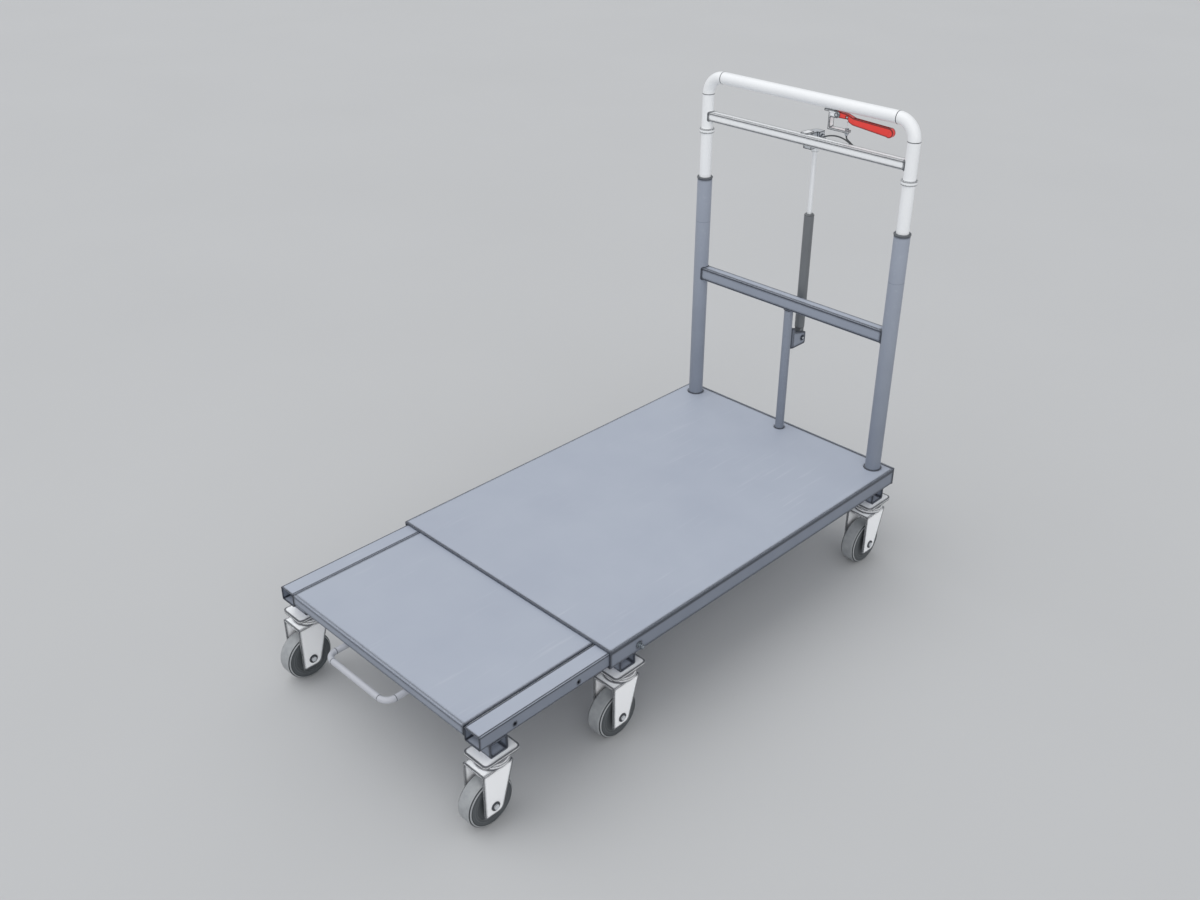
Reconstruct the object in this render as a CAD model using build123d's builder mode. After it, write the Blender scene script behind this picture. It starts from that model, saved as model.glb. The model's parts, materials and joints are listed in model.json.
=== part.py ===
import os
from math import pi

from build123d import *

os.makedirs("parts", exist_ok=True)

# The cart stands on Z = 0. X runs across it, Y from the pull handle back to the push handle.
# Distances along the cart are stations, measured back from the front edge of the main deck.
DECK_WIDTH = 600.0
DECK_LENGTH = 900.0
DECK_THICKNESS = 5.0
DECK_HEIGHT = 220.0
DECK_FRONT = -291.5
DECK_UNDER = DECK_HEIGHT - DECK_THICKNESS
PLATE_BREAK = 0.6

# Side angles and end plate under the main deck
SKIRT_DEPTH = 40.0
ANGLE_WALL = 3.0
ANGLE_FLANGE = 42.0
ANGLE_HEEL = 2.0
END_PLATE = 5.0
SKIRT_BOTTOM = DECK_HEIGHT - SKIRT_DEPTH
FLANGE_TOP = SKIRT_BOTTOM + ANGLE_WALL
WEB_OUTER = DECK_WIDTH / 2
WEB_INNER = WEB_OUTER - ANGLE_WALL

# Clearances
FIT = 0.08
SLIDE_GAP = 0.4
WELD_GAP = 0.1

# Extension rails, square to the side angles and free to slide in them
RAIL_WIDTH = 40.0
RAIL_HEIGHT = 30.0
RAIL_WALL = 2.0
RAIL_CORNER = 2.5
RAIL_GAP = 1.0
RAIL_REACH = 303.0
RAIL_HIDDEN = 380.0
RAIL_X = WEB_INNER - RAIL_GAP - RAIL_WIDTH / 2
RAIL_BOTTOM = FLANGE_TOP + SLIDE_GAP
RAIL_FRONT = DECK_FRONT - RAIL_REACH

# Extension deck, folded down and back under itself at the front
EXT_DECK_WIDTH = 508.0
EXT_DECK_SHEET = 3.0
EXT_DECK_TOP = DECK_UNDER - 1.0
EXT_DECK_OVERLAP = 60.0
APRON_DEPTH = 24.0
APRON_RETURN = 25.0
APRON_BEND = 4.0
APRON_BOTTOM = EXT_DECK_TOP - APRON_DEPTH

# Ties between the rails, and the rod to pull the extension by
TIE_WIDTH = 30.0
TIE_HEIGHT = 20.0
TIE_WALL = 2.0
TIE_CORNER = 2.5
TIE_STATIONS = (-150.0, 35.0, 355.0)
PULL_ROD = 12.0
PULL_HALF_WIDTH = 90.0
PULL_REACH = 39.0
PULL_ROOT = 36.0
PULL_BEND = 20.0

# Locks: a knobbed pin on each side that goes into holes in the rail
LOCK_STATION = 75.0
LOCK_PITCH = 150.0
LOCK_HOLES = 3
LOCK_HOLE = 7.0
LOCK_Z = DECK_HEIGHT - 25.0
LOCK_STROKE = 4.0
LOCK_PIN = 6.0
LOCK_POINT = 0.8
LOCK_BUSH = 13.0
LOCK_BUSH_FACE = 1.5
LOCK_BUSH_NECK = 10.0
LOCK_KNOB = 10.0
LOCK_KNOB_LENGTH = 5.0
LOCK_BEVEL = 1.0

# Casters
SWIVEL_STATIONS = {"front": -262.0, "mid": 50.0, "rear": 855.0}
CASTER_X = RAIL_X
CASTER_TRAIL = 20.4
PLATE_WIDTH = 60.0
PLATE_LENGTH = 80.0
PLATE_THICKNESS = 6.0
PLATE_CORNER = 8.0
PLATE_TOP = DECK_HEIGHT - 68.0
PLATE_BOTTOM = PLATE_TOP - PLATE_THICKNESS
RISER_SIZE = 40.0
RISER_WALL = 3.0
RISER_CORNER = 3.5
UPPER_RACE_RADIUS = 27.0
UPPER_RACE_DEPTH = 5.6
LOWER_RACE_RADIUS = 31.0
LOWER_RACE_TOP = PLATE_BOTTOM - UPPER_RACE_DEPTH - SLIDE_GAP
RACE_BEVEL = 3.0
KING_PIN = 12.0
KING_NUT = 20.0
KING_NUT_HEIGHT = 8.0
FORK_TOP = DECK_HEIGHT - 90.0
FORK_WIDTH = 54.0
FORK_WALL = 4.0
FORK_FRONT = -43.0
FORK_REAR = 24.0
FORK_TOE = 32.0
FORK_TOE_REAR = -4.0
FORK_TOE_FRONT_ROUND = 3.0
FORK_TOE_REAR_ROUND = 13.0
FORK_CROWN_ROUND = 1.0
CROWN_UNDER = FORK_TOP - FORK_WALL

# Caster wheels
WHEEL_RADIUS = 50.0
WHEEL_WIDTH = 35.0
TREAD_DEPTH = 12.0
TREAD_SHOULDER = 7.0
RIM_BAND = 5.0
RIM_RECESS = 1.5
BOSS_RADIUS = 13.0
BOSS_WIDTH = 40.0
AXLE = 10.0
AXLE_WASHER = 18.0
AXLE_WASHER_THICKNESS = 1.6
AXLE_END = 4.0

# Push handle: posts let through the deck onto the side angles, and a hoop that slides in them
POST_X = 262.0
POST_Y = DECK_FRONT + 874.0
POST_RADIUS = 33.7 / 2
POST_WALL = 2.6
POST_TOP = DECK_HEIGHT + 546.0
BUSH_FLANGE_RADIUS = 18.0
BUSH_HEAD = 3.0
BUSH_BEVEL = 1.0
BUSH_SKIRT = 30.0
HOOP_RADIUS = 13.0
HOOP_WALL = 2.0
HOOP_BEND = 40.0
HOOP_TOP = DECK_HEIGHT + 775.0
HOOP_BOTTOM = DECK_HEIGHT + 380.0
HOOP_UNDER = HOOP_TOP - HOOP_RADIUS
HANDLE_STROKE = 100.0
COLLAR_RADIUS = 16.5
COLLAR_HEIGHT = 10.0
COLLAR_BEVEL = 1.0
COLLAR_BOTTOM = POST_TOP + BUSH_HEAD + HANDLE_STROKE + SLIDE_GAP
UPPER_BAR = 20.0
UPPER_BAR_Z = DECK_HEIGHT + 687.0
LOWER_BAR_HEIGHT = 30.0
LOWER_BAR_DEPTH = 25.0
LOWER_BAR_Z = DECK_HEIGHT + 318.5
BAR_WALL = 2.0
BAR_CORNER = 3.0
STRUT_RADIUS = 10.0
STRUT_WALL = 2.0

# Gas spring behind the strut, on a clevis
SPRING_Y = POST_Y + 46.0
CYLINDER_RADIUS = 11.0
CYLINDER_WALL = 1.5
CYLINDER_CRIMP = 2.5
CYLINDER_BOTTOM = DECK_HEIGHT + 243.0
CYLINDER_TOP = DECK_HEIGHT + 514.0
CYLINDER_FLOOR = CYLINDER_BOTTOM + 6.0
GUIDE_BOTTOM = CYLINDER_TOP - 10.0
ROD_RADIUS = 5.0
ROD_NUT_RADIUS = 8.0
ROD_NUT_HEIGHT = 10.0
PISTON_RADIUS = CYLINDER_RADIUS - CYLINDER_WALL - SLIDE_GAP
PISTON_TOP = GUIDE_BOTTOM - 3.0
PISTON_HEIGHT = 14.0
CLEVIS_PIN_Z = DECK_HEIGHT + 220.0
CLEVIS_PIN = 8.0
CLEVIS_PIN_HEAD = 12.0
CLEVIS_WIDTH = 20.0
CLEVIS_WALL = 3.0
CLEVIS_DROP = 17.0
CLEVIS_NOSE = 12.0
CLEVIS_SHOULDER = 22.0
CLEVIS_RISE = 33.0
CLEVIS_FRONT = POST_Y + STRUT_RADIUS
CLEVIS_REAR = SPRING_Y + 12.0
CLEVIS_ROUND = 4.0
EYE_WIDTH = 13.0
EYE_RADIUS = 8.0

# Release head on the rod, under a tab on the upper crossbar, with an arm to the left
TAB_WIDTH = 17.0
TAB_THICKNESS = 3.0
TAB_BOTTOM = UPPER_BAR_Z + UPPER_BAR / 2
TAB_FRONT = POST_Y
TAB_REAR = SPRING_Y - 20.0
TAB_CORNER = 2.0
HEAD_RADIUS = 9.0
HEAD_FRONT = SPRING_Y - 28.0
HEAD_RIGHT = 14.5
HEAD_BOTTOM = DECK_HEIGHT + 662.0
ARM_LEFT = -27.0
ARM_WIDTH = 12.0
ARM_HEIGHT = 10.0
ARM_FOOT = 11.0
ARM_DROP = 8.0
ARM_ROUND = 2.0
SOCKET_RADIUS = 6.0
SOCKET_LENGTH = 20.0
SOCKET_TILT = 25.0
SOCKET_ROOT = Vector(1.0, SPRING_Y, DECK_HEIGHT + 677.5)

# Release lever under the hoop, on a bent strip bracket
PIVOT_X = 82.5
PIVOT_Z = DECK_HEIGHT + 754.5
PIVOT_PIN = 6.0
PIVOT_HEAD = 9.0
PIVOT_HEAD_HEIGHT = 2.0
BRACKET_DEPTH = 15.0
BRACKET_WALL = 4.0
BRACKET_WEB_X = 63.0
BRACKET_LEFT = 51.5
BRACKET_RIGHT = 112.0
BRACKET_FLOOR = DECK_HEIGHT + 722.0
BRACKET_CORNER = 4.0
EAR_RADIUS = 6.8
EAR_WALL = 2.0
LEVER_EYE = 6.0
LEVER_DEPTH = 10.0
LEVER_WALL = 2.0
LEVER_FLOOR = 2.6
LEVER_KNEE = 18.0
LEVER_STEP_ROUND = 1.5
LEVER_TIP = (215.0, DECK_HEIGHT + 741.5)
LEVER_TOP = [
    (PIVOT_X, PIVOT_Z + LEVER_EYE),
    (104.0, DECK_HEIGHT + 759.4),
    (122.0, DECK_HEIGHT + 753.5),
    (204.0, DECK_HEIGHT + 750.0),
]
LEVER_UNDER = [
    (201.0, DECK_HEIGHT + 732.5),
    (120.0, DECK_HEIGHT + 740.0),
    (110.0, DECK_HEIGHT + 744.5),
    (109.0, DECK_HEIGHT + 749.0),
    (PIVOT_X, PIVOT_Z - LEVER_EYE),
]

# Wire and cable from the lever to the release head
WIRE_X = 105.5
WIRE = 1.8
WIRE_BORE = 2.6
WIRE_END = BRACKET_FLOOR - 6.0
NIPPLE = 4.0
NIPPLE_LENGTH = 9.0
NIPPLE_Z = DECK_HEIGHT + 752.8
NIPPLE_PLAY = 0.8
SLEEVE = 4.0
SLEEVE_TOP = DECK_HEIGHT + 748.2
SLEEVE_LENGTH = 5.0
FERRULE_NECK = 5.0
FERRULE_NUT = 8.0
FERRULE_NUT_HEIGHT = 3.5
FERRULE_COLLAR = 9.0
FERRULE_COLLAR_HEIGHT = 3.0
FERRULE_FOOT = BRACKET_FLOOR - 7.0
CABLE = 3.2
CABLE_RADII = [80.0, 20.0, 11.5]

SIDES = (("left", -1), ("right", 1))


def save(builder, name):
    """Name a finished piece and write it out."""
    builder.part.label = name
    export_step(builder.part, f"parts/{name}.step")


def station(distance):
    """Y of a station along the cart."""
    return DECK_FRONT + distance


def upright(x, y):
    """Drawing plane through (x, y) seen from the front: across the cart and up from the floor."""
    return Plane(origin=(x, y, 0), x_dir=(1, 0, 0), z_dir=(0, -1, 0))


def upright_axis(x, y):
    return Axis((x, y, 0), (0, 0, 1))


def box_section(width, height, wall, corner):
    """Draw a hollow rectangular section with rounded edges in the current sketch."""
    inner_corner = max(corner - wall, 0.5)
    RectangleRounded(width, height, corner)
    RectangleRounded(width - 2 * wall, height - 2 * wall, inner_corner, mode=Mode.SUBTRACT)


def ring_section(radius, wall):
    """Draw a round tube's section in the current sketch."""
    Circle(radius)
    Circle(radius - wall, mode=Mode.SUBTRACT)


def turned(profile, x, y):
    """A piece turned about an upright axis, from its (radius, height) profile."""
    with BuildPart() as piece:
        with BuildSketch(upright(x, y)):
            with BuildLine():
                Polyline(*profile, close=True)
            make_face()
        revolve(axis=upright_axis(x, y))
    return piece


# Main frame
with BuildPart() as deck_plate:
    with BuildSketch(Plane.XY.offset(DECK_UNDER)):
        with Locations((0, station(DECK_LENGTH / 2))):
            Rectangle(DECK_WIDTH, DECK_LENGTH)
    extrude(amount=DECK_THICKNESS)
    chamfer(deck_plate.faces().sort_by(Axis.Z)[-1].edges(), length=PLATE_BREAK)
    with BuildSketch(Plane.XY.offset(DECK_UNDER)):
        with Locations((-POST_X, POST_Y), (POST_X, POST_Y)):
            Circle(POST_RADIUS + WELD_GAP)
        with Locations((0, POST_Y)):
            Circle(STRUT_RADIUS + WELD_GAP)
    extrude(amount=DECK_THICKNESS, mode=Mode.SUBTRACT)
save(deck_plate, "main_deck_plate")

with BuildPart() as end_plate:
    with BuildSketch(upright(0, station(DECK_LENGTH))):
        with Locations((0, DECK_HEIGHT - SKIRT_DEPTH / 2)):
            Rectangle(DECK_WIDTH, SKIRT_DEPTH)
    extrude(amount=-END_PLATE)
    chamfer(end_plate.faces().sort_by(Axis.Y)[-1].edges(), length=PLATE_BREAK)
save(end_plate, "rear_end_plate")

for side, sign in SIDES:
    flange_edge = WEB_OUTER - ANGLE_FLANGE
    with BuildPart() as side_angle:
        with BuildSketch(upright(0, DECK_FRONT)) as angle_section:
            with BuildLine():
                Polyline(
                    (sign * WEB_OUTER, DECK_UNDER),
                    (sign * WEB_OUTER, SKIRT_BOTTOM),
                    (sign * flange_edge, SKIRT_BOTTOM),
                    (sign * flange_edge, FLANGE_TOP),
                    (sign * WEB_INNER, FLANGE_TOP),
                    (sign * WEB_INNER, DECK_UNDER),
                    close=True,
                )
            make_face()
            heel = angle_section.vertices().group_by(Axis.Y)[0].sort_by(Axis.X)[-1 if sign > 0 else 0]
            fillet(heel, radius=ANGLE_HEEL)
        extrude(amount=-DECK_LENGTH)
        with BuildSketch(Plane.YZ.offset(sign * (WEB_INNER - ANGLE_WALL))):
            with Locations((station(LOCK_STATION), LOCK_Z)):
                Circle(LOCK_BUSH_NECK / 2 + WELD_GAP)
        extrude(amount=sign * 3 * ANGLE_WALL, mode=Mode.SUBTRACT)
    save(side_angle, f"{side}_side_angle")


def riser_row(places, top):
    """Short tubes lying across the cart between a rail or an angle and the caster plates."""
    height = top - PLATE_TOP
    with BuildPart() as row:
        for x, y in places:
            with BuildSketch(Plane.YZ.offset(x - RISER_SIZE / 2)):
                with Locations((y, PLATE_TOP + height / 2)):
                    box_section(RISER_SIZE, height, RISER_WALL, RISER_CORNER)
            extrude(amount=RISER_SIZE)
    return row


def caster_plates(places):
    """Top plates with rounded corners, each with its upper race and king pin below."""
    race_bottom = PLATE_BOTTOM - UPPER_RACE_DEPTH
    nut_top = CROWN_UNDER - SLIDE_GAP
    with BuildPart() as plates:
        for x, y in places:
            with BuildSketch(Plane.XY.offset(PLATE_BOTTOM)):
                with Locations((x, y)):
                    RectangleRounded(PLATE_WIDTH, PLATE_LENGTH, PLATE_CORNER)
            extrude(amount=PLATE_THICKNESS)
            with BuildSketch(upright(x, y)):
                with BuildLine():
                    Polyline(
                        (0, PLATE_BOTTOM),
                        (UPPER_RACE_RADIUS - RACE_BEVEL, PLATE_BOTTOM),
                        (UPPER_RACE_RADIUS, PLATE_BOTTOM - RACE_BEVEL),
                        (UPPER_RACE_RADIUS, race_bottom),
                        (KING_PIN / 2, race_bottom),
                        (KING_PIN / 2, nut_top),
                        (KING_NUT / 2, nut_top),
                        (KING_NUT / 2, nut_top - KING_NUT_HEIGHT),
                        (0, nut_top - KING_NUT_HEIGHT),
                        close=True,
                    )
                make_face()
            revolve(axis=upright_axis(x, y))
    return plates


main_places = [
    (sign * CASTER_X, station(SWIVEL_STATIONS[row])) for row in ("mid", "rear") for _, sign in SIDES
]
front_places = [(sign * CASTER_X, station(SWIVEL_STATIONS["front"])) for _, sign in SIDES]
save(riser_row(main_places, SKIRT_BOTTOM), "main_risers")
save(riser_row(front_places, RAIL_BOTTOM), "front_risers")
save(caster_plates(main_places), "main_caster_plates")
save(caster_plates(front_places), "front_caster_plates")

for side, sign in SIDES:
    with BuildPart() as post:
        with BuildSketch(Plane.XY.offset(FLANGE_TOP)):
            with Locations((sign * POST_X, POST_Y)):
                ring_section(POST_RADIUS, POST_WALL)
        extrude(amount=POST_TOP - FLANGE_TOP)
    save(post, f"{side}_post")

with BuildPart() as post_bushes:
    skirt_radius = POST_RADIUS - POST_WALL - WELD_GAP
    bush_bore = HOOP_RADIUS + FIT
    bush_top = POST_TOP + BUSH_HEAD
    for _, sign in SIDES:
        with BuildSketch(upright(sign * POST_X, POST_Y)):
            with BuildLine():
                Polyline(
                    (bush_bore, POST_TOP - BUSH_SKIRT),
                    (skirt_radius, POST_TOP - BUSH_SKIRT),
                    (skirt_radius, POST_TOP),
                    (BUSH_FLANGE_RADIUS, POST_TOP),
                    (BUSH_FLANGE_RADIUS, bush_top - BUSH_BEVEL),
                    (BUSH_FLANGE_RADIUS - BUSH_BEVEL, bush_top),
                    (bush_bore, bush_top),
                    close=True,
                )
            make_face()
        revolve(axis=upright_axis(sign * POST_X, POST_Y))
save(post_bushes, "post_bushes")


def coped_bar(depth, height, level, tube_radius):
    """Rectangular tube between two round uprights, its ends cut to fit round them."""
    with BuildPart() as bar:
        with BuildSketch(Plane.YZ.offset(-POST_X)):
            with Locations((POST_Y, level)):
                box_section(depth, height, BAR_WALL, BAR_CORNER)
        extrude(amount=2 * POST_X)
        with BuildSketch(Plane.XY.offset(level - height)):
            with Locations((-POST_X, POST_Y), (POST_X, POST_Y)):
                Circle(tube_radius + WELD_GAP)
        extrude(amount=2 * height, mode=Mode.SUBTRACT)
    return bar


save(coped_bar(LOWER_BAR_DEPTH, LOWER_BAR_HEIGHT, LOWER_BAR_Z, POST_RADIUS), "lower_crossbar")
save(coped_bar(UPPER_BAR, UPPER_BAR, UPPER_BAR_Z, HOOP_RADIUS), "upper_crossbar")

with BuildPart() as strut:
    with BuildSketch(Plane.XY.offset(DECK_UNDER)):
        with Locations((0, POST_Y)):
            ring_section(STRUT_RADIUS, STRUT_WALL)
    extrude(amount=LOWER_BAR_Z - LOWER_BAR_HEIGHT / 2 - DECK_UNDER)
save(strut, "centre_strut")

# Gas spring: clevis on the strut, its pin, and the cylinder with a flat eye at its foot
with BuildPart() as clevis:
    with BuildSketch(Plane.YZ.offset(-CLEVIS_WIDTH / 2)) as clevis_side:
        with BuildLine():
            Polyline(
                (CLEVIS_FRONT, CLEVIS_PIN_Z - CLEVIS_DROP),
                (CLEVIS_REAR, CLEVIS_PIN_Z - CLEVIS_DROP),
                (CLEVIS_REAR, CLEVIS_PIN_Z + CLEVIS_NOSE),
                (CLEVIS_FRONT + 3 * CLEVIS_WALL, CLEVIS_PIN_Z + CLEVIS_SHOULDER),
                (CLEVIS_FRONT + 2 * CLEVIS_WALL, CLEVIS_PIN_Z + CLEVIS_RISE),
                (CLEVIS_FRONT, CLEVIS_PIN_Z + CLEVIS_RISE),
                close=True,
            )
        make_face()
        fillet(clevis_side.vertices().group_by(Axis.X)[-1], radius=CLEVIS_ROUND)
        with Locations((SPRING_Y, CLEVIS_PIN_Z)):
            Circle(CLEVIS_PIN / 2 + FIT, mode=Mode.SUBTRACT)
    extrude(amount=CLEVIS_WIDTH)
    with BuildSketch(Plane.XY.offset(CLEVIS_PIN_Z)):
        with Locations((0, CLEVIS_FRONT + CLEVIS_WALL)):
            Rectangle(CLEVIS_WIDTH - 2 * CLEVIS_WALL, CLEVIS_REAR - CLEVIS_FRONT, align=(Align.CENTER, Align.MIN))
    extrude(amount=CLEVIS_RISE, both=True, mode=Mode.SUBTRACT)
    fillet(clevis.edges().filter_by(Axis.Z).group_by(Axis.Y)[0], radius=CLEVIS_WALL)
save(clevis, "spring_clevis")

with BuildPart() as clevis_pin:
    pin_length = CLEVIS_WIDTH / 2 + CLEVIS_WALL
    with BuildSketch(Plane.YZ):
        with Locations((SPRING_Y, CLEVIS_PIN_Z)):
            Circle(CLEVIS_PIN / 2)
    extrude(amount=pin_length, both=True)
    for sign in (-1, 1):
        with BuildSketch(Plane.YZ.offset(sign * (CLEVIS_WIDTH / 2 + WELD_GAP))):
            with Locations((SPRING_Y, CLEVIS_PIN_Z)):
                Circle(CLEVIS_PIN_HEAD / 2)
        extrude(amount=sign * CLEVIS_WALL / 2)
save(clevis_pin, "clevis_pin")

with BuildPart() as cylinder:
    with BuildSketch(upright(0, SPRING_Y)):
        with BuildLine():
            Polyline(
                (0, CYLINDER_FLOOR),
                (0, CYLINDER_BOTTOM),
                (CYLINDER_RADIUS - CYLINDER_CRIMP, CYLINDER_BOTTOM),
                (CYLINDER_RADIUS, CYLINDER_BOTTOM + CYLINDER_CRIMP),
                (CYLINDER_RADIUS, CYLINDER_TOP - CYLINDER_CRIMP),
                (CYLINDER_RADIUS - CYLINDER_CRIMP, CYLINDER_TOP),
                (ROD_RADIUS + FIT, CYLINDER_TOP),
                (ROD_RADIUS + FIT, GUIDE_BOTTOM),
                (CYLINDER_RADIUS - CYLINDER_WALL, GUIDE_BOTTOM),
                (CYLINDER_RADIUS - CYLINDER_WALL, CYLINDER_FLOOR),
                close=True,
            )
        make_face()
    revolve(axis=upright_axis(0, SPRING_Y))
    with BuildSketch(Plane.YZ):
        with Locations((SPRING_Y, CLEVIS_PIN_Z)):
            Circle(EYE_RADIUS)
            Rectangle(2 * EYE_RADIUS, CYLINDER_BOTTOM - CLEVIS_PIN_Z + 1, align=(Align.CENTER, Align.MIN))
            Circle(CLEVIS_PIN / 2 + FIT, mode=Mode.SUBTRACT)
    extrude(amount=EYE_WIDTH / 2, both=True)
save(cylinder, "gas_cylinder")

# Locks, turned about an axis across the cart
lock_plane = upright(0, station(LOCK_STATION))
lock_axis = Axis((0, station(LOCK_STATION), LOCK_Z), (1, 0, 0))
with BuildPart() as lock_bushes:
    bush_face = WEB_OUTER + LOCK_BUSH_FACE
    for _, sign in SIDES:
        with BuildSketch(lock_plane):
            with BuildLine():
                Polyline(
                    (sign * WEB_INNER, LOCK_Z + LOCK_PIN / 2 + FIT),
                    (sign * WEB_INNER, LOCK_Z + LOCK_BUSH_NECK / 2),
                    (sign * WEB_OUTER, LOCK_Z + LOCK_BUSH_NECK / 2),
                    (sign * WEB_OUTER, LOCK_Z + LOCK_BUSH / 2),
                    (sign * (bush_face - LOCK_BEVEL), LOCK_Z + LOCK_BUSH / 2),
                    (sign * bush_face, LOCK_Z + LOCK_BUSH / 2 - LOCK_BEVEL),
                    (sign * bush_face, LOCK_Z + LOCK_PIN / 2 + FIT),
                    close=True,
                )
            make_face()
        revolve(axis=lock_axis)
save(lock_bushes, "lock_bushes")

for side, sign in SIDES:
    tip = RAIL_X + RAIL_WIDTH / 2 + SLIDE_GAP
    knob_foot = WEB_OUTER + LOCK_BUSH_FACE + LOCK_STROKE + SLIDE_GAP
    knob_face = knob_foot + LOCK_KNOB_LENGTH
    with BuildPart() as lock_pin:
        with BuildSketch(lock_plane):
            with BuildLine():
                Polyline(
                    (sign * tip, LOCK_Z),
                    (sign * tip, LOCK_Z + LOCK_PIN / 2 - LOCK_POINT),
                    (sign * (tip + LOCK_POINT), LOCK_Z + LOCK_PIN / 2),
                    (sign * knob_foot, LOCK_Z + LOCK_PIN / 2),
                    (sign * knob_foot, LOCK_Z + LOCK_KNOB / 2 - LOCK_BEVEL),
                    (sign * (knob_foot + LOCK_BEVEL), LOCK_Z + LOCK_KNOB / 2),
                    (sign * (knob_face - LOCK_BEVEL), LOCK_Z + LOCK_KNOB / 2),
                    (sign * knob_face, LOCK_Z + LOCK_KNOB / 2 - LOCK_BEVEL),
                    (sign * knob_face, LOCK_Z),
                    close=True,
                )
            make_face()
        revolve(axis=lock_axis)
    save(lock_pin, f"{side}_lock_pin")

# Extension
for side, sign in SIDES:
    with BuildPart() as rail:
        with BuildSketch(upright(sign * RAIL_X, RAIL_FRONT)):
            with Locations((0, RAIL_BOTTOM + RAIL_HEIGHT / 2)):
                box_section(RAIL_WIDTH, RAIL_HEIGHT, RAIL_WALL, RAIL_CORNER)
        extrude(amount=-(RAIL_REACH + RAIL_HIDDEN))
        with BuildSketch(Plane.YZ.offset(sign * RAIL_X)):
            for index in range(LOCK_HOLES):
                with Locations((station(LOCK_STATION - index * LOCK_PITCH), LOCK_Z)):
                    Circle(LOCK_HOLE / 2)
        extrude(amount=sign * RAIL_WIDTH, mode=Mode.SUBTRACT)
    save(rail, f"{side}_rail")

with BuildPart() as extension_deck:
    sheet_rear = station(EXT_DECK_OVERLAP)
    with BuildSketch(Plane.YZ.offset(-EXT_DECK_WIDTH / 2)):
        with BuildLine():
            outer = FilletPolyline(
                (sheet_rear, EXT_DECK_TOP),
                (RAIL_FRONT, EXT_DECK_TOP),
                (RAIL_FRONT, APRON_BOTTOM),
                (RAIL_FRONT + APRON_RETURN, APRON_BOTTOM),
                radius=APRON_BEND,
            )
            inner = FilletPolyline(
                (sheet_rear, EXT_DECK_TOP - EXT_DECK_SHEET),
                (RAIL_FRONT + EXT_DECK_SHEET, EXT_DECK_TOP - EXT_DECK_SHEET),
                (RAIL_FRONT + EXT_DECK_SHEET, APRON_BOTTOM + EXT_DECK_SHEET),
                (RAIL_FRONT + APRON_RETURN, APRON_BOTTOM + EXT_DECK_SHEET),
                radius=APRON_BEND - EXT_DECK_SHEET,
            )
            Line(outer @ 0, inner @ 0)
            Line(outer @ 1, inner @ 1)
        make_face()
    extrude(amount=EXT_DECK_WIDTH)
save(extension_deck, "extension_deck")

with BuildPart() as ties:
    tie_half = RAIL_X - RAIL_WIDTH / 2
    for distance in TIE_STATIONS:
        with BuildSketch(Plane.YZ.offset(-tie_half)):
            with Locations((station(distance), EXT_DECK_TOP - EXT_DECK_SHEET - TIE_HEIGHT / 2)):
                box_section(TIE_WIDTH, TIE_HEIGHT, TIE_WALL, TIE_CORNER)
        extrude(amount=2 * tie_half)
save(ties, "extension_ties")

with BuildPart() as pull_handle:
    with BuildLine(Plane.XY.offset(APRON_BOTTOM - PULL_ROD / 2)) as pull_line:
        FilletPolyline(
            (-PULL_HALF_WIDTH, RAIL_FRONT + PULL_ROOT),
            (-PULL_HALF_WIDTH, RAIL_FRONT - PULL_REACH),
            (PULL_HALF_WIDTH, RAIL_FRONT - PULL_REACH),
            (PULL_HALF_WIDTH, RAIL_FRONT + PULL_ROOT),
            radius=PULL_BEND,
        )
    with BuildSketch(Plane(origin=pull_line.line @ 0, z_dir=pull_line.line % 0)):
        Circle(PULL_ROD / 2)
    sweep()
save(pull_handle, "pull_handle")


# Casters
def caster_fork(x, y):
    """Pressed fork: two legs that lean forward to the axle, a crown and the lower race on it."""
    bore = KING_PIN / 2 + FIT
    with BuildPart() as fork:
        with BuildSketch(Plane.YZ.offset(x - FORK_WIDTH / 2)) as leg:
            with BuildLine():
                Polyline(
                    (y + FORK_FRONT, FORK_TOP),
                    (y + FORK_FRONT, FORK_TOE),
                    (y + FORK_TOE_REAR, FORK_TOE),
                    (y + FORK_REAR, FORK_TOP),
                    close=True,
                )
            make_face()
            toe_front, toe_rear = leg.vertices().group_by(Axis.Y)[0].sort_by(Axis.X)
            fillet(toe_rear, radius=FORK_TOE_REAR_ROUND)
            fillet(toe_front, radius=FORK_TOE_FRONT_ROUND)
        extrude(amount=FORK_WIDTH)
        fillet(fork.edges().filter_by(Axis.Y).group_by(Axis.Z)[-1], radius=FORK_CROWN_ROUND)
        with BuildSketch(Plane.XY):
            with Locations((x, y)):
                Rectangle(FORK_WIDTH - 2 * FORK_WALL, 2 * PLATE_LENGTH)
        extrude(amount=CROWN_UNDER, mode=Mode.SUBTRACT)
        with BuildSketch(upright(x, y)):
            with BuildLine():
                Polyline(
                    (0, LOWER_RACE_TOP),
                    (LOWER_RACE_RADIUS - RACE_BEVEL, LOWER_RACE_TOP),
                    (LOWER_RACE_RADIUS, LOWER_RACE_TOP - RACE_BEVEL),
                    (LOWER_RACE_RADIUS, FORK_TOP + RACE_BEVEL),
                    (LOWER_RACE_RADIUS - 2 * RACE_BEVEL, CROWN_UNDER),
                    (0, CROWN_UNDER),
                    close=True,
                )
            make_face()
        revolve(axis=upright_axis(x, y))
        with BuildSketch(Plane.XY.offset(LOWER_RACE_TOP)):
            with Locations((x, y)):
                Circle(bore)
        extrude(amount=CROWN_UNDER - LOWER_RACE_TOP, mode=Mode.SUBTRACT)
        with BuildSketch(Plane.YZ.offset(x)):
            with Locations((y - CASTER_TRAIL, WHEEL_RADIUS)):
                Circle(AXLE / 2 + FIT)
        extrude(amount=FORK_WIDTH, both=True, mode=Mode.SUBTRACT)
    return fork


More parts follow.
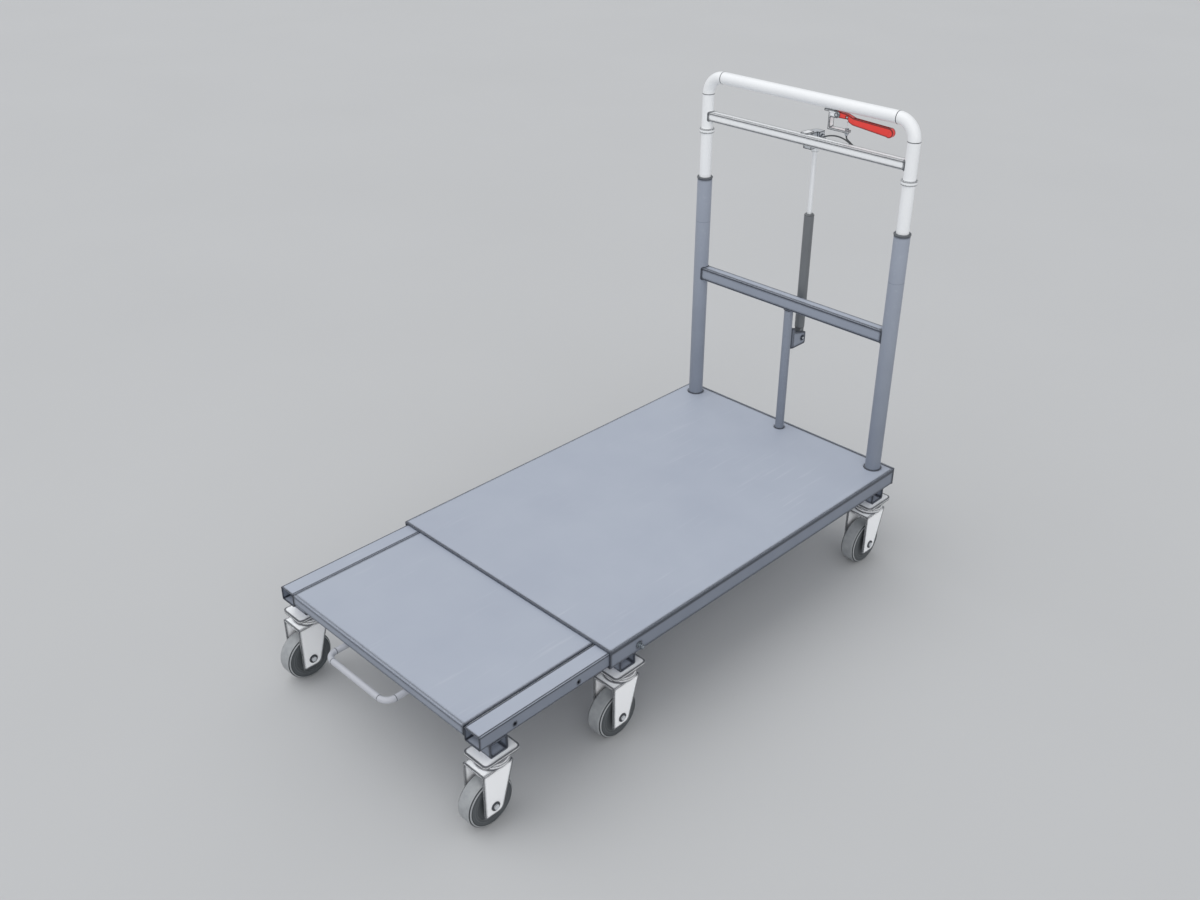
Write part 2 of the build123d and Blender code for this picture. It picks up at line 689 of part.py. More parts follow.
def caster_axle(x, y):
    """Axle pin with a washer under each riveted end and a spacer on each side of the wheel."""
    leg_outer = FORK_WIDTH / 2
    leg_inner = leg_outer - FORK_WALL
    spacer = leg_inner - BOSS_WIDTH / 2 - SLIDE_GAP
    with BuildPart() as axle:
        with BuildSketch(Plane.YZ.offset(x)):
            with Locations((y - CASTER_TRAIL, WHEEL_RADIUS)):
                Circle(AXLE / 2)
        extrude(amount=leg_outer + AXLE_END, both=True)
        for start, length in (
            (x - leg_outer - AXLE_WASHER_THICKNESS, AXLE_WASHER_THICKNESS),
            (x + leg_outer, AXLE_WASHER_THICKNESS),
            (x - leg_inner, spacer),
            (x + leg_inner - spacer, spacer),
        ):
            with BuildSketch(Plane.YZ.offset(start)):
                with Locations((y - CASTER_TRAIL, WHEEL_RADIUS)):
                    Circle(AXLE_WASHER / 2)
            extrude(amount=length)
    return axle


def caster_tyre(x, y):
    """Tread ring with rounded shoulders."""
    half = WHEEL_WIDTH / 2
    bore = WHEEL_RADIUS - TREAD_DEPTH
    wheel_axis = Axis((x, y - CASTER_TRAIL, WHEEL_RADIUS), (1, 0, 0))
    with BuildPart() as tyre:
        with BuildSketch(Plane(origin=wheel_axis.position)):
            with BuildLine():
                FilletPolyline(
                    (-half, bore),
                    (-half, WHEEL_RADIUS),
                    (half, WHEEL_RADIUS),
                    (half, bore),
                    radius=TREAD_SHOULDER,
                )
                Line((half, bore), (-half, bore))
            make_face()
        revolve(axis=wheel_axis)
    return tyre


def caster_wheel_centre(x, y):
    """Wheel centre: a raised rim band inside the tread, a flat web and a bored boss."""
    half = WHEEL_WIDTH / 2
    rim = WHEEL_RADIUS - TREAD_DEPTH - WELD_GAP
    web = half - RIM_RECESS
    wheel_axis = Axis((x, y - CASTER_TRAIL, WHEEL_RADIUS), (1, 0, 0))
    with BuildPart() as centre:
        with BuildSketch(Plane(origin=wheel_axis.position)):
            with BuildLine():
                Polyline(
                    (0, AXLE / 2 + FIT),
                    (BOSS_WIDTH / 2, AXLE / 2 + FIT),
                    (BOSS_WIDTH / 2, BOSS_RADIUS),
                    (web, BOSS_RADIUS),
                    (web, rim - RIM_BAND),
                    (half, rim - RIM_BAND),
                    (half, rim),
                    (0, rim),
                    close=True,
                )
            make_face()
            mirror(about=Plane.YZ)
        revolve(axis=wheel_axis)
    return centre


for row, distance in SWIVEL_STATIONS.items():
    for side, sign in SIDES:
        place = (sign * CASTER_X, station(distance))
        save(caster_fork(*place), f"{row}_{side}_fork")
        save(caster_axle(*place), f"{row}_{side}_axle")
        save(caster_tyre(*place), f"{row}_{side}_tyre")
        save(caster_wheel_centre(*place), f"{row}_{side}_wheel_centre")

# Push handle
with BuildPart() as hoop:
    with BuildLine(upright(0, POST_Y)) as hoop_line:
        FilletPolyline(
            (-POST_X, HOOP_BOTTOM),
            (-POST_X, HOOP_TOP),
            (POST_X, HOOP_TOP),
            (POST_X, HOOP_BOTTOM),
            radius=HOOP_BEND,
        )
    with BuildSketch(Plane(origin=hoop_line.line @ 0, z_dir=hoop_line.line % 0)):
        ring_section(HOOP_RADIUS, HOOP_WALL)
    sweep()
save(hoop, "hoop")

with BuildPart() as collars:
    with BuildSketch(Plane.XY.offset(COLLAR_BOTTOM)):
        with Locations((-POST_X, POST_Y), (POST_X, POST_Y)):
            ring_section(COLLAR_RADIUS, COLLAR_RADIUS - HOOP_RADIUS - WELD_GAP)
    extrude(amount=COLLAR_HEIGHT)
    rims = collars.edges().filter_by(GeomType.CIRCLE).filter_by(lambda edge: edge.radius == COLLAR_RADIUS)
    chamfer(rims, length=COLLAR_BEVEL)
save(collars, "stop_collars")

with BuildPart() as tab:
    with BuildSketch(Plane.XY.offset(TAB_BOTTOM)):
        with Locations((0, (TAB_FRONT + TAB_REAR) / 2)):
            RectangleRounded(TAB_WIDTH, TAB_REAR - TAB_FRONT, TAB_CORNER)
    extrude(amount=TAB_THICKNESS)
save(tab, "spring_tab")

rod_profile = [
    (0, PISTON_TOP - PISTON_HEIGHT),
    (PISTON_RADIUS, PISTON_TOP - PISTON_HEIGHT),
    (PISTON_RADIUS, PISTON_TOP),
    (ROD_RADIUS, PISTON_TOP),
    (ROD_RADIUS, HEAD_BOTTOM - ROD_NUT_HEIGHT),
    (ROD_NUT_RADIUS, HEAD_BOTTOM - ROD_NUT_HEIGHT),
    (ROD_NUT_RADIUS, HEAD_BOTTOM),
    (0, HEAD_BOTTOM),
]
save(turned(rod_profile, 0, SPRING_Y), "gas_rod")

socket_axis = Vector(1, 0, 0).rotate(Axis.Y, -SOCKET_TILT)
socket_mouth = SOCKET_ROOT + socket_axis * SOCKET_LENGTH
with BuildPart() as head:
    with BuildSketch(Plane.XY.offset(HEAD_BOTTOM)):
        with Locations((0, SPRING_Y)):
            Circle(HEAD_RADIUS)
        with Locations((-HEAD_RADIUS, HEAD_FRONT)):
            Rectangle(2 * HEAD_RADIUS, SPRING_Y - HEAD_FRONT, align=(Align.MIN, Align.MIN))
        with Locations((0, SPRING_Y)):
            Rectangle(HEAD_RIGHT, 2 * HEAD_RADIUS, align=(Align.MIN, Align.CENTER))
    extrude(amount=TAB_BOTTOM - HEAD_BOTTOM)
    with BuildSketch(Plane(origin=SOCKET_ROOT, z_dir=socket_axis)):
        Circle(SOCKET_RADIUS)
    extrude(amount=SOCKET_LENGTH)
    with BuildSketch(upright(0, SPRING_Y)) as arm_side:
        with BuildLine():
            Polyline(
                (0, HEAD_BOTTOM + ARM_HEIGHT),
                (ARM_LEFT, HEAD_BOTTOM + ARM_HEIGHT),
                (ARM_LEFT, HEAD_BOTTOM - ARM_DROP),
                (ARM_LEFT + ARM_FOOT, HEAD_BOTTOM - ARM_DROP),
                (ARM_LEFT + ARM_FOOT, HEAD_BOTTOM),
                (0, HEAD_BOTTOM),
                close=True,
            )
        make_face()
        fillet(arm_side.vertices().group_by(Axis.X)[0], radius=ARM_ROUND)
    extrude(amount=ARM_WIDTH / 2, both=True)
save(head, "release_head")

# Release lever, its bracket and pin
with BuildPart() as bracket:
    ear_outer = BRACKET_DEPTH / 2
    with BuildSketch(upright(0, POST_Y)):
        with BuildLine():
            Polyline(
                (BRACKET_LEFT, HOOP_UNDER),
                (PIVOT_X - EAR_RADIUS, HOOP_UNDER),
                (PIVOT_X - EAR_RADIUS, HOOP_UNDER - BRACKET_WALL),
                (BRACKET_WEB_X + BRACKET_WALL, HOOP_UNDER - BRACKET_WALL),
                (BRACKET_WEB_X + BRACKET_WALL, BRACKET_FLOOR + BRACKET_WALL),
                (BRACKET_RIGHT, BRACKET_FLOOR + BRACKET_WALL),
                (BRACKET_RIGHT, BRACKET_FLOOR),
                (BRACKET_WEB_X, BRACKET_FLOOR),
                (BRACKET_WEB_X, HOOP_UNDER - BRACKET_WALL),
                (BRACKET_LEFT, HOOP_UNDER - BRACKET_WALL),
                close=True,
            )
        make_face()
    extrude(amount=ear_outer, both=True)
    for start in (POST_Y + ear_outer, POST_Y - ear_outer + EAR_WALL):
        with BuildSketch(upright(0, start)):
            with Locations((PIVOT_X, PIVOT_Z)):
                Circle(EAR_RADIUS)
                Rectangle(PIVOT_X - BRACKET_WEB_X, 2 * EAR_RADIUS, align=(Align.MAX, Align.CENTER))
        extrude(amount=EAR_WALL)
    with BuildSketch(upright(0, POST_Y)):
        with Locations((PIVOT_X, PIVOT_Z)):
            Circle(PIVOT_PIN / 2 + FIT)
    extrude(amount=BRACKET_DEPTH, both=True, mode=Mode.SUBTRACT)
    with BuildSketch(Plane.XY.offset(BRACKET_FLOOR)):
        with Locations((WIRE_X, POST_Y)):
            Circle(FERRULE_NECK / 2 + WELD_GAP)
    extrude(amount=BRACKET_WALL, mode=Mode.SUBTRACT)
    fillet(bracket.edges().filter_by(Axis.Z).group_by(Axis.X)[-1], radius=BRACKET_CORNER)
save(bracket, "lever_bracket")

with BuildPart() as pivot_pin:
    with BuildSketch(upright(PIVOT_X, POST_Y)):
        with Locations((0, PIVOT_Z)):
            Circle(PIVOT_PIN / 2)
    extrude(amount=BRACKET_DEPTH / 2 + PIVOT_HEAD_HEIGHT, both=True)
    for sign in (-1, 1):
        with BuildSketch(upright(PIVOT_X, POST_Y - sign * (BRACKET_DEPTH / 2 + WELD_GAP))):
            with Locations((0, PIVOT_Z)):
                Circle(PIVOT_HEAD / 2)
        extrude(amount=sign * (PIVOT_HEAD_HEIGHT - WELD_GAP))
save(pivot_pin, "lever_pin")

with BuildPart() as lever:
    with BuildSketch(upright(0, POST_Y)) as lever_side:
        with BuildLine():
            Polyline(*LEVER_TOP)
            ThreePointArc(LEVER_TOP[-1], LEVER_TIP, LEVER_UNDER[0])
            Polyline(*LEVER_UNDER)
            Line(LEVER_UNDER[-1], LEVER_TOP[0])
        make_face()
        for corners, radius in (
            (LEVER_TOP[1:3] + LEVER_UNDER[1:2], LEVER_KNEE),
            (LEVER_UNDER[2:4], LEVER_STEP_ROUND),
        ):
            fillet(
                lever_side.vertices().filter_by(lambda v: any(abs(v.X - corner[0]) < 0.1 for corner in corners)),
                radius=radius,
            )
        with Locations((PIVOT_X, PIVOT_Z)):
            Circle(LEVER_EYE)
    extrude(amount=LEVER_DEPTH / 2, both=True)
    with BuildSketch(upright(0, POST_Y)):
        with BuildLine():
            Polyline(
                (LEVER_UNDER[1][0], LEVER_UNDER[1][1] + LEVER_FLOOR),
                (LEVER_UNDER[0][0], LEVER_UNDER[0][1] + LEVER_FLOOR),
                (LEVER_TOP[-1][0] + LEVER_FLOOR, LEVER_TIP[1]),
                (LEVER_TOP[-1][0] + LEVER_FLOOR, LEVER_TOP[0][1]),
                (LEVER_UNDER[1][0], LEVER_TOP[0][1]),
                close=True,
            )
        make_face()
    extrude(amount=LEVER_DEPTH / 2 - LEVER_WALL, both=True, mode=Mode.SUBTRACT)
    with BuildSketch(upright(0, POST_Y)):
        with Locations((PIVOT_X, PIVOT_Z)):
            Circle(PIVOT_PIN / 2 + FIT)
        with Locations((WIRE_X, NIPPLE_Z)):
            Circle(NIPPLE / 2 + NIPPLE_PLAY)
    extrude(amount=LEVER_DEPTH, both=True, mode=Mode.SUBTRACT)
    with BuildSketch(Plane.XY.offset(NIPPLE_Z)):
        with Locations((WIRE_X, POST_Y)):
            Rectangle(WIRE + 2 * NIPPLE_PLAY, WIRE + 2 * NIPPLE_PLAY)
    extrude(amount=-LEVER_DEPTH, mode=Mode.SUBTRACT)
save(lever, "release_lever")

# Inner wire with its nipple and pressed sleeve, the cable's end fitting and the cable
with BuildPart() as wire:
    with BuildSketch(Plane.XY.offset(WIRE_END)):
        with Locations((WIRE_X, POST_Y)):
            Circle(WIRE / 2)
    extrude(amount=NIPPLE_Z - WIRE_END)
    with BuildSketch(upright(WIRE_X, POST_Y)):
        with Locations((0, NIPPLE_Z)):
            Circle(NIPPLE / 2)
    extrude(amount=NIPPLE_LENGTH / 2, both=True)
    with BuildSketch(Plane.XY.offset(SLEEVE_TOP)):
        with Locations((WIRE_X, POST_Y)):
            Circle(SLEEVE / 2)
    extrude(amount=-SLEEVE_LENGTH)
save(wire, "release_wire")

nut_bottom = BRACKET_FLOOR + BRACKET_WALL
cable_end_profile = [
    (WIRE_BORE / 2, nut_bottom + FERRULE_NUT_HEIGHT),
    (FERRULE_NUT / 2, nut_bottom + FERRULE_NUT_HEIGHT),
    (FERRULE_NUT / 2, nut_bottom),
    (FERRULE_NECK / 2, nut_bottom),
    (FERRULE_NECK / 2, BRACKET_FLOOR),
    (FERRULE_COLLAR / 2, BRACKET_FLOOR),
    (FERRULE_COLLAR / 2, BRACKET_FLOOR - FERRULE_COLLAR_HEIGHT),
    (WIRE_BORE, FERRULE_FOOT),
    (0, FERRULE_FOOT),
    (0, WIRE_END - SLIDE_GAP),
    (WIRE_BORE / 2, WIRE_END - SLIDE_GAP),
]
save(turned(cable_end_profile, WIRE_X, POST_Y), "cable_end")

CABLE_ROUTE = [
    socket_mouth,
    socket_mouth + socket_axis * 38.0,
    Vector(114.0, POST_Y + 38.0, DECK_HEIGHT + 676.0),
    Vector(WIRE_X, POST_Y, DECK_HEIGHT + 709.5),
    Vector(WIRE_X, POST_Y, FERRULE_FOOT),
]
with BuildPart() as cable:
    with BuildLine() as cable_line:
        FilletPolyline(*CABLE_ROUTE, radius=CABLE_RADII)
    with BuildSketch(Plane(origin=cable_line.line @ 0, z_dir=cable_line.line % 0)):
        Circle(CABLE / 2)
    sweep()
save(cable, "cable_sheath")
cable_length = sum(edge.length for edge in cable_line.edges())
section = pi * CABLE**2 / 4
print("cable radii", CABLE_RADII, "length", round(cable_length, 1))
print("cable volume over section times length", round(cable.part.volume / (section * cable_length), 4))
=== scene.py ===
import json
import math
import random

import bmesh
import bpy
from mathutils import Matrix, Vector


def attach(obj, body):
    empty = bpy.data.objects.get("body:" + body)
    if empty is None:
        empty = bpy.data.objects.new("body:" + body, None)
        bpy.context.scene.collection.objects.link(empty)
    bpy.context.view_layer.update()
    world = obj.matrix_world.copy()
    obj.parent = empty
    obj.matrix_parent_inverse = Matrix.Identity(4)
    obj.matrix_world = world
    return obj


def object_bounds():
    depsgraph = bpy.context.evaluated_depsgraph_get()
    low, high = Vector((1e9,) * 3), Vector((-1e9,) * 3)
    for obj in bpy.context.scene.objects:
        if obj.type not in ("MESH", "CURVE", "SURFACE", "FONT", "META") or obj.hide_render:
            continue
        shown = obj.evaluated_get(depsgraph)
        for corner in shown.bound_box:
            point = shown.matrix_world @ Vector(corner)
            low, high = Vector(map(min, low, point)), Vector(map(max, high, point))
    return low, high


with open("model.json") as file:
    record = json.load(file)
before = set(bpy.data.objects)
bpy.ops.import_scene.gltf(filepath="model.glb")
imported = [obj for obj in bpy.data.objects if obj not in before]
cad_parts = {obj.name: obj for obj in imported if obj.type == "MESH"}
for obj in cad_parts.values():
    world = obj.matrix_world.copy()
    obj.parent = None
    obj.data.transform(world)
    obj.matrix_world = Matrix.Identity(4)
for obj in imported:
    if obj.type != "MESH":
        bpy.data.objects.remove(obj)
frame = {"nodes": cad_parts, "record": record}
cad_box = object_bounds()
nodes = frame["nodes"]

# Sizes of the cart that the dressing follows, in metres
DECK_TOP = 0.220
POST_X = 0.262
POST_Y = 0.5825
POST_RADIUS = 0.01685
CRIMP_LEVEL = 0.664
HOOP_RADIUS = 0.013
HOOP_TOP = 0.995
HOOP_BEND = 0.040
STRUT_RADIUS = 0.010
# Depth, height and level of each crossbar
LOWER_BAR = (0.025, 0.030, 0.5385)
UPPER_BAR = (0.020, 0.020, 0.907)
BAR_CORNER = 0.003
LOWER_BAR_UNDER = 0.5235
CLEVIS_EDGE = 0.0065
CLEVIS_FRONT = POST_Y + STRUT_RADIUS
CLEVIS_SPAN = (0.423, 0.473)
CASTER_X = 0.276
SWIVEL_Y = {"front": -0.5535, "mid": -0.2415, "rear": 0.5635}
RISER_TOPS = {"front": 0.1834, "mid": 0.180, "rear": 0.180}
RISER_HALF = 0.020
TAB_TOP = 0.917
TAB_HALF = 0.0085
PULL_X = 0.090
PULL_FRONT = -0.6335
PULL_BEND = 0.020
PULL_RADIUS = 0.006
APRON_FRONT = -0.5945
APRON_UNDER = 0.190

# Radii of the weld beads, and how far their centre lines lie off the steel, in it or below it
POST_BEAD = 0.0018
POST_BEAD_OFF = 0.0008
LOWER_BAR_BEAD = 0.0016
UPPER_BAR_BEAD = 0.0014
CLEVIS_BEAD = 0.0022
CLEVIS_BEAD_IN = 0.0012
TAB_BEAD = 0.0014
TAB_BEAD_OFF = 0.0003
PULL_BEAD = 0.0019
PULL_BEAD_APART = 0.0042
PULL_BEAD_DROP = 0.0012
RISER_BEAD = 0.0016
RISER_BEAD_OFF = 0.0002
RISER_BEAD_DROP = 0.0006
STRUT_FOOT_BEAD = 0.0015
STRUT_FOOT_OFF = 0.0006
STRUT_HEAD_BEAD = 0.0018
STRUT_HEAD_OFF = 0.0008
# Where the short beads start and end, from the post's line, the apron's face and the riser's middle
TAB_RUN = (0.0005, 0.0085)
PULL_RUN = (0.006, 0.024)
RISER_RUN = (-0.0185, 0.0185)
# Radii of the seam rings, which are sunk in their tubes so that a low ridge shows
ELBOW_SEAM = 0.0011
ELBOW_SEAM_IN = 0.0006
PULL_SEAM = 0.0009
PULL_SEAM_IN = 0.0005
CRIMP_RING = 0.00045
CRIMP_RING_IN = 0.00038

# Sockets of a colour mix: its share, the colour below, the colour laid on it, and the result
SHARE = 0
BELOW = 6
LAID_ON = 7
MIXED = 2

# Edges: half a millimetre is eased. Grime starts where the normal, eased over a wider reach, leaves the
# true one by this cosine, and is full at the next; it hides this share of the coat
EASED_EDGE = 0.0005
GRIME_STARTS = 0.9972
GRIME_FULL = 0.974
GRIME_COVERS = 0.92

# What a pattern across a piece takes in, for one that lies along X or along Y
ACROSS_X = (0.0, 2.0, 2.0)
ACROSS_Y = (2.0, 0.0, 2.0)


def linear(code):
    """Linear colour of an sRGB hex value."""
    parts = [int(code[i : i + 2], 16) / 255 for i in (1, 3, 5)]
    return [c / 12.92 if c <= 0.04045 else ((c + 0.055) / 1.055) ** 2.4 for c in parts] + [1.0]


def every(millimetres):
    """Texture scale of a pattern that comes round once in so many millimetres."""
    return 1000 / millimetres


def feed(made, feeds):
    """Give each input of a node a value or the output that feeds it."""
    for key, value in feeds.items():
        if isinstance(value, bpy.types.NodeSocket):
            made.id_data.links.new(value, made.inputs[key])
        else:
            made.inputs[key].default_value = value


def node(tree, kind, feeds=None, **settings):
    """Add a node with its settings and its inputs."""
    made = tree.nodes.new(kind)
    for key, value in settings.items():
        setattr(made, key, value)
    feed(made, feeds or {})
    return made


def new_finish(name):
    """An empty material with its shader, ready for a finish."""
    finish = bpy.data.materials.new(name)
    finish.use_nodes = True
    finish.node_tree.nodes.clear()
    tree = finish.node_tree
    shader = node(tree, "ShaderNodeBsdfPrincipled")
    node(tree, "ShaderNodeOutputMaterial", {"Surface": shader.outputs["BSDF"]})
    return finish, tree, shader


def from_middle(tree, generated, across):
    """Place in a piece, from -1 to 1 over its sides. Generated coordinates run from 0 to 1 over one piece,
    so 0.5 is its middle. Across leaves out the way in which the piece lies."""
    centred = node(
        tree, "ShaderNodeVectorMath", {0: generated, 1: (0.5, 0.5, 0.5)}, operation="SUBTRACT"
    )
    spread = node(
        tree, "ShaderNodeVectorMath", {0: centred.outputs["Vector"], 1: across}, operation="MULTIPLY"
    )
    return spread.outputs["Vector"]


def from_axle(tree, generated):
    """Distance from the axle of a wheel's own piece, from 0 in the middle to 1 at its largest radius."""
    place = from_middle(tree, generated, ACROSS_X)
    return node(tree, "ShaderNodeVectorMath", {0: place}, operation="LENGTH").outputs["Value"]


def round_lines(tree, generated, start, half_line, across):
    """Thin lines along a bar's rounded edges, one on each side of the round. Start is the share of the
    bar's half width at which the round starts, and half_line is half a line as such a share."""
    place = from_middle(tree, generated, across)
    folded = node(tree, "ShaderNodeVectorMath", {0: place}, operation="ABSOLUTE")
    sides = node(tree, "ShaderNodeSeparateXYZ", {0: folded.outputs["Vector"]})
    # The side that the bar lies along is 0 here, so the larger of the two is the side across it
    aside = node(
        tree, "ShaderNodeMath", {0: sides.outputs["X"], 1: sides.outputs["Y"]}, operation="MAXIMUM"
    )
    lesser = node(
        tree, "ShaderNodeMath", {0: aside.outputs["Value"], 1: sides.outputs["Z"]}, operation="MINIMUM"
    )
    lines = node(
        tree,
        "ShaderNodeMath",
        {0: lesser.outputs["Value"], 1: start, 2: half_line},
        operation="COMPARE",
    )
    return lines.outputs["Value"]


def edges_of(tree, reach):
    """How near a point lies to a sharp edge, from 0 to 1 within a reach in mm, and the normal with the
    last half millimetre of that edge eased."""
    round_about = node(tree, "ShaderNodeBevel", {"Radius": reach / 1000}, samples=8).outputs["Normal"]
    eased = node(tree, "ShaderNodeBevel", {"Radius": EASED_EDGE}, samples=4).outputs["Normal"]
    flat = node(tree, "ShaderNodeNewGeometry").outputs["Normal"]
    facing = node(tree, "ShaderNodeVectorMath", {0: round_about, 1: flat}, operation="DOT_PRODUCT")
    near = node(
        tree,
        "ShaderNodeMapRange",
        {"Value": facing.outputs["Value"], "From Min": GRIME_STARTS, "From Max": GRIME_FULL},
    )
    return near.outputs["Result"], eased


def paint_side_shade(tree, place, coat, side_shade_colour):
    """Coat colour with painted shade on upright faces: a darker grey on steep faces, strongest below the
    deck and in faint patches, standing in for the dimmer light on the sides. The tops keep the coat's own
    colour."""
    weaker_above = DECK_TOP + 0.5
    normal = node(tree, "ShaderNodeNewGeometry").outputs["Normal"]
    facing = node(tree, "ShaderNodeSeparateXYZ", {0: normal})
    height = node(tree, "ShaderNodeSeparateXYZ", {0: place})
    level = node(tree, "ShaderNodeMath", {0: facing.outputs["Z"]}, operation="ABSOLUTE")
    steep = node(
        tree,
        "ShaderNodeMapRange",
        {"Value": level.outputs["Value"], "From Min": 0.75, "From Max": 0.3},
    )
    low = node(
        tree,
        "ShaderNodeMapRange",
        {"Value": height.outputs["Z"], "From Min": weaker_above, "From Max": DECK_TOP, "To Min": 0.35},
    )
    patches = node(tree, "ShaderNodeTexNoise", {"Vector": place, "Scale": every(60), "Detail": 4.0})
    amount = node(
        tree, "ShaderNodeMapRange", {"Value": patches.outputs["Fac"], "To Min": 0.8, "To Max": 1.0}
    )
    share = steep.outputs["Result"]
    for mask in (low.outputs["Result"], amount.outputs["Result"]):
        both = node(tree, "ShaderNodeMath", {0: share, 1: mask}, operation="MULTIPLY")
        share = both.outputs["Value"]
    # Painted shade: steep faces take a darker grey for the dimmer light that reaches the sides
    side_shaded = node(
        tree, "ShaderNodeMix", {SHARE: share, BELOW: coat, LAID_ON: linear(side_shade_colour)}, data_type="RGBA"
    )
    return side_shaded.outputs[MIXED]


def scuffed(tree, place, coat, scuffs):
    """Coat colour with pale scuffs in patches, along the way in which goods slide on and off."""
    # Scuffs are thinner than a pixel, so they are drawn about 1.5 mm wide
    drag = node(
        tree, "ShaderNodeMapping", {"Vector": place, "Rotation": (0, 0, 0.16), "Scale": (1, 0.05, 1)}
    )
    scratch = node(
        tree,
        "ShaderNodeTexNoise",
        {"Vector": drag.outputs["Vector"], "Scale": every(9), "Detail": 5.0},
    )
    line = node(
        tree,
        "ShaderNodeMapRange",
        {"Value": scratch.outputs["Fac"], "From Min": 0.6, "From Max": 0.74},
    )
    patch = node(tree, "ShaderNodeTexNoise", {"Vector": place, "Scale": every(260), "Detail": 2.0})
    area = node(
        tree,
        "ShaderNodeMapRange",
        {"Value": patch.outputs["Fac"], "From Min": 0.42, "From Max": 0.66},
    )
    marks = node(
        tree,
        "ShaderNodeMath",
        {0: line.outputs["Result"], 1: area.outputs["Result"]},
        operation="MULTIPLY",
    )
    share = node(tree, "ShaderNodeMath", {0: marks.outputs["Value"], 1: scuffs}, operation="MULTIPLY")
    rubbed = node(
        tree,
        "ShaderNodeMix",
        {SHARE: share.outputs["Value"], BELOW: coat, LAID_ON: linear("#D4D8DE")},
        data_type="RGBA",
    )
    return rubbed.outputs[MIXED]


def powder_coat(name, colour, shade, edge, reach, roughness, peel, scuffs=0.0, side_shade_colour=None, rounds=None):
    """Baked powder coat on steel. The thickness clouds the colour by a few percent over a hand's breadth,
    the melted powder leaves a fine orange peel, and cut edges draw thin and hold grime, so they read as
    dark lines. Scuffs run where goods slide, side_shade_colour is painted shade on the upright sides,
    strongest below the deck, and rounds says where the rounded edges of a bar start."""
    finish, tree, shader = new_finish(name)
    spot = node(tree, "ShaderNodeTexCoord")
    place = spot.outputs["Object"]
    cloud = node(tree, "ShaderNodeTexNoise", {"Vector": place, "Scale": every(150), "Detail": 4.0})
    cloud_share = node(
        tree, "ShaderNodeMapRange", {"Value": cloud.outputs["Fac"], "From Min": 0.3, "From Max": 0.7}
    )
    tone = node(
        tree,
        "ShaderNodeMix",
        {SHARE: cloud_share.outputs["Result"], BELOW: linear(colour), LAID_ON: linear(shade)},
        data_type="RGBA",
    )
    coat = tone.outputs[MIXED]
    if scuffs:
        coat = scuffed(tree, place, coat, scuffs)
    # Painted shade on the upright faces
    if side_shade_colour:
        coat = paint_side_shade(tree, place, coat, side_shade_colour)
    near, eased = edges_of(tree, reach)
    if rounds:
        lines = round_lines(tree, spot.outputs["Generated"], **rounds)
        near = node(tree, "ShaderNodeMath", {0: near, 1: lines}, operation="MAXIMUM").outputs["Value"]
    edge_share = node(tree, "ShaderNodeMath", {0: near, 1: GRIME_COVERS}, operation="MULTIPLY")
    drawn = node(
        tree,
        "ShaderNodeMix",
        {SHARE: edge_share.outputs["Value"], BELOW: coat, LAID_ON: linear(edge)},
        data_type="RGBA",
    )
    gloss = node(
        tree,
        "ShaderNodeMapRange",
        {"Value": cloud.outputs["Fac"], "To Min": roughness - 0.05, "To Max": roughness + 0.07},
    )
    # Orange peel is about 2 mm across; 3 mm shows at this size
    skin = node(tree, "ShaderNodeTexNoise", {"Vector": place, "Scale": every(3), "Detail": 2.0})
    bump = node(
        tree,
        "ShaderNodeBump",
        {"Height": skin.outputs["Fac"], "Strength": peel, "Distance": 0.0004, "Normal": eased},
    )
    looks = {
        "Base Color": drawn.outputs[MIXED],
        "Roughness": gloss.outputs["Result"],
        "Normal": bump.outputs["Normal"],
        "IOR": 1.5,
    }
    feed(shader, looks)
    return finish


def plated_steel(name, colour, shade, edge, reach, roughness, grain_mm, across, metallic=1.0):
    """Plated steel. A drawn or turned part keeps fine tool lines under the plate, and the plate's
    passivation drifts in tone, so its reflections are slightly broken. Grime stays along the edges, so
    small fittings read by their outlines."""
    finish, tree, shader = new_finish(name)
    place = node(tree, "ShaderNodeTexCoord").outputs["Object"]
    drift = node(tree, "ShaderNodeTexNoise", {"Vector": place, "Scale": every(14), "Detail": 3.0})
    tone = node(
        tree,
        "ShaderNodeMix",
        {SHARE: drift.outputs["Fac"], BELOW: linear(colour), LAID_ON: linear(shade)},
        data_type="RGBA",
    )
    stretch = node(tree, "ShaderNodeMapping", {"Vector": place, "Scale": across})
    lines = node(
        tree,
        "ShaderNodeTexNoise",
        {"Vector": stretch.outputs["Vector"], "Scale": every(grain_mm), "Detail": 2.0},
    )
    gloss = node(
        tree,
        "ShaderNodeMapRange",
        {"Value": lines.outputs["Fac"], "To Min": roughness - 0.06, "To Max": roughness + 0.1},
    )
    near, eased = edges_of(tree, reach)
    outlined = node(
        tree,
        "ShaderNodeMix",
        {SHARE: near, BELOW: tone.outputs[MIXED], LAID_ON: linear(edge)},
        data_type="RGBA",
    )
    bump = node(
        tree,
        "ShaderNodeBump",
        {"Height": lines.outputs["Fac"], "Strength": 0.12, "Distance": 0.0002, "Normal": eased},
    )
    looks = {
        "Base Color": outlined.outputs[MIXED],
        "Roughness": gloss.outputs["Result"],
        "Normal": bump.outputs["Normal"],
        "Metallic": metallic,
    }
    feed(shader, looks)
    return finish


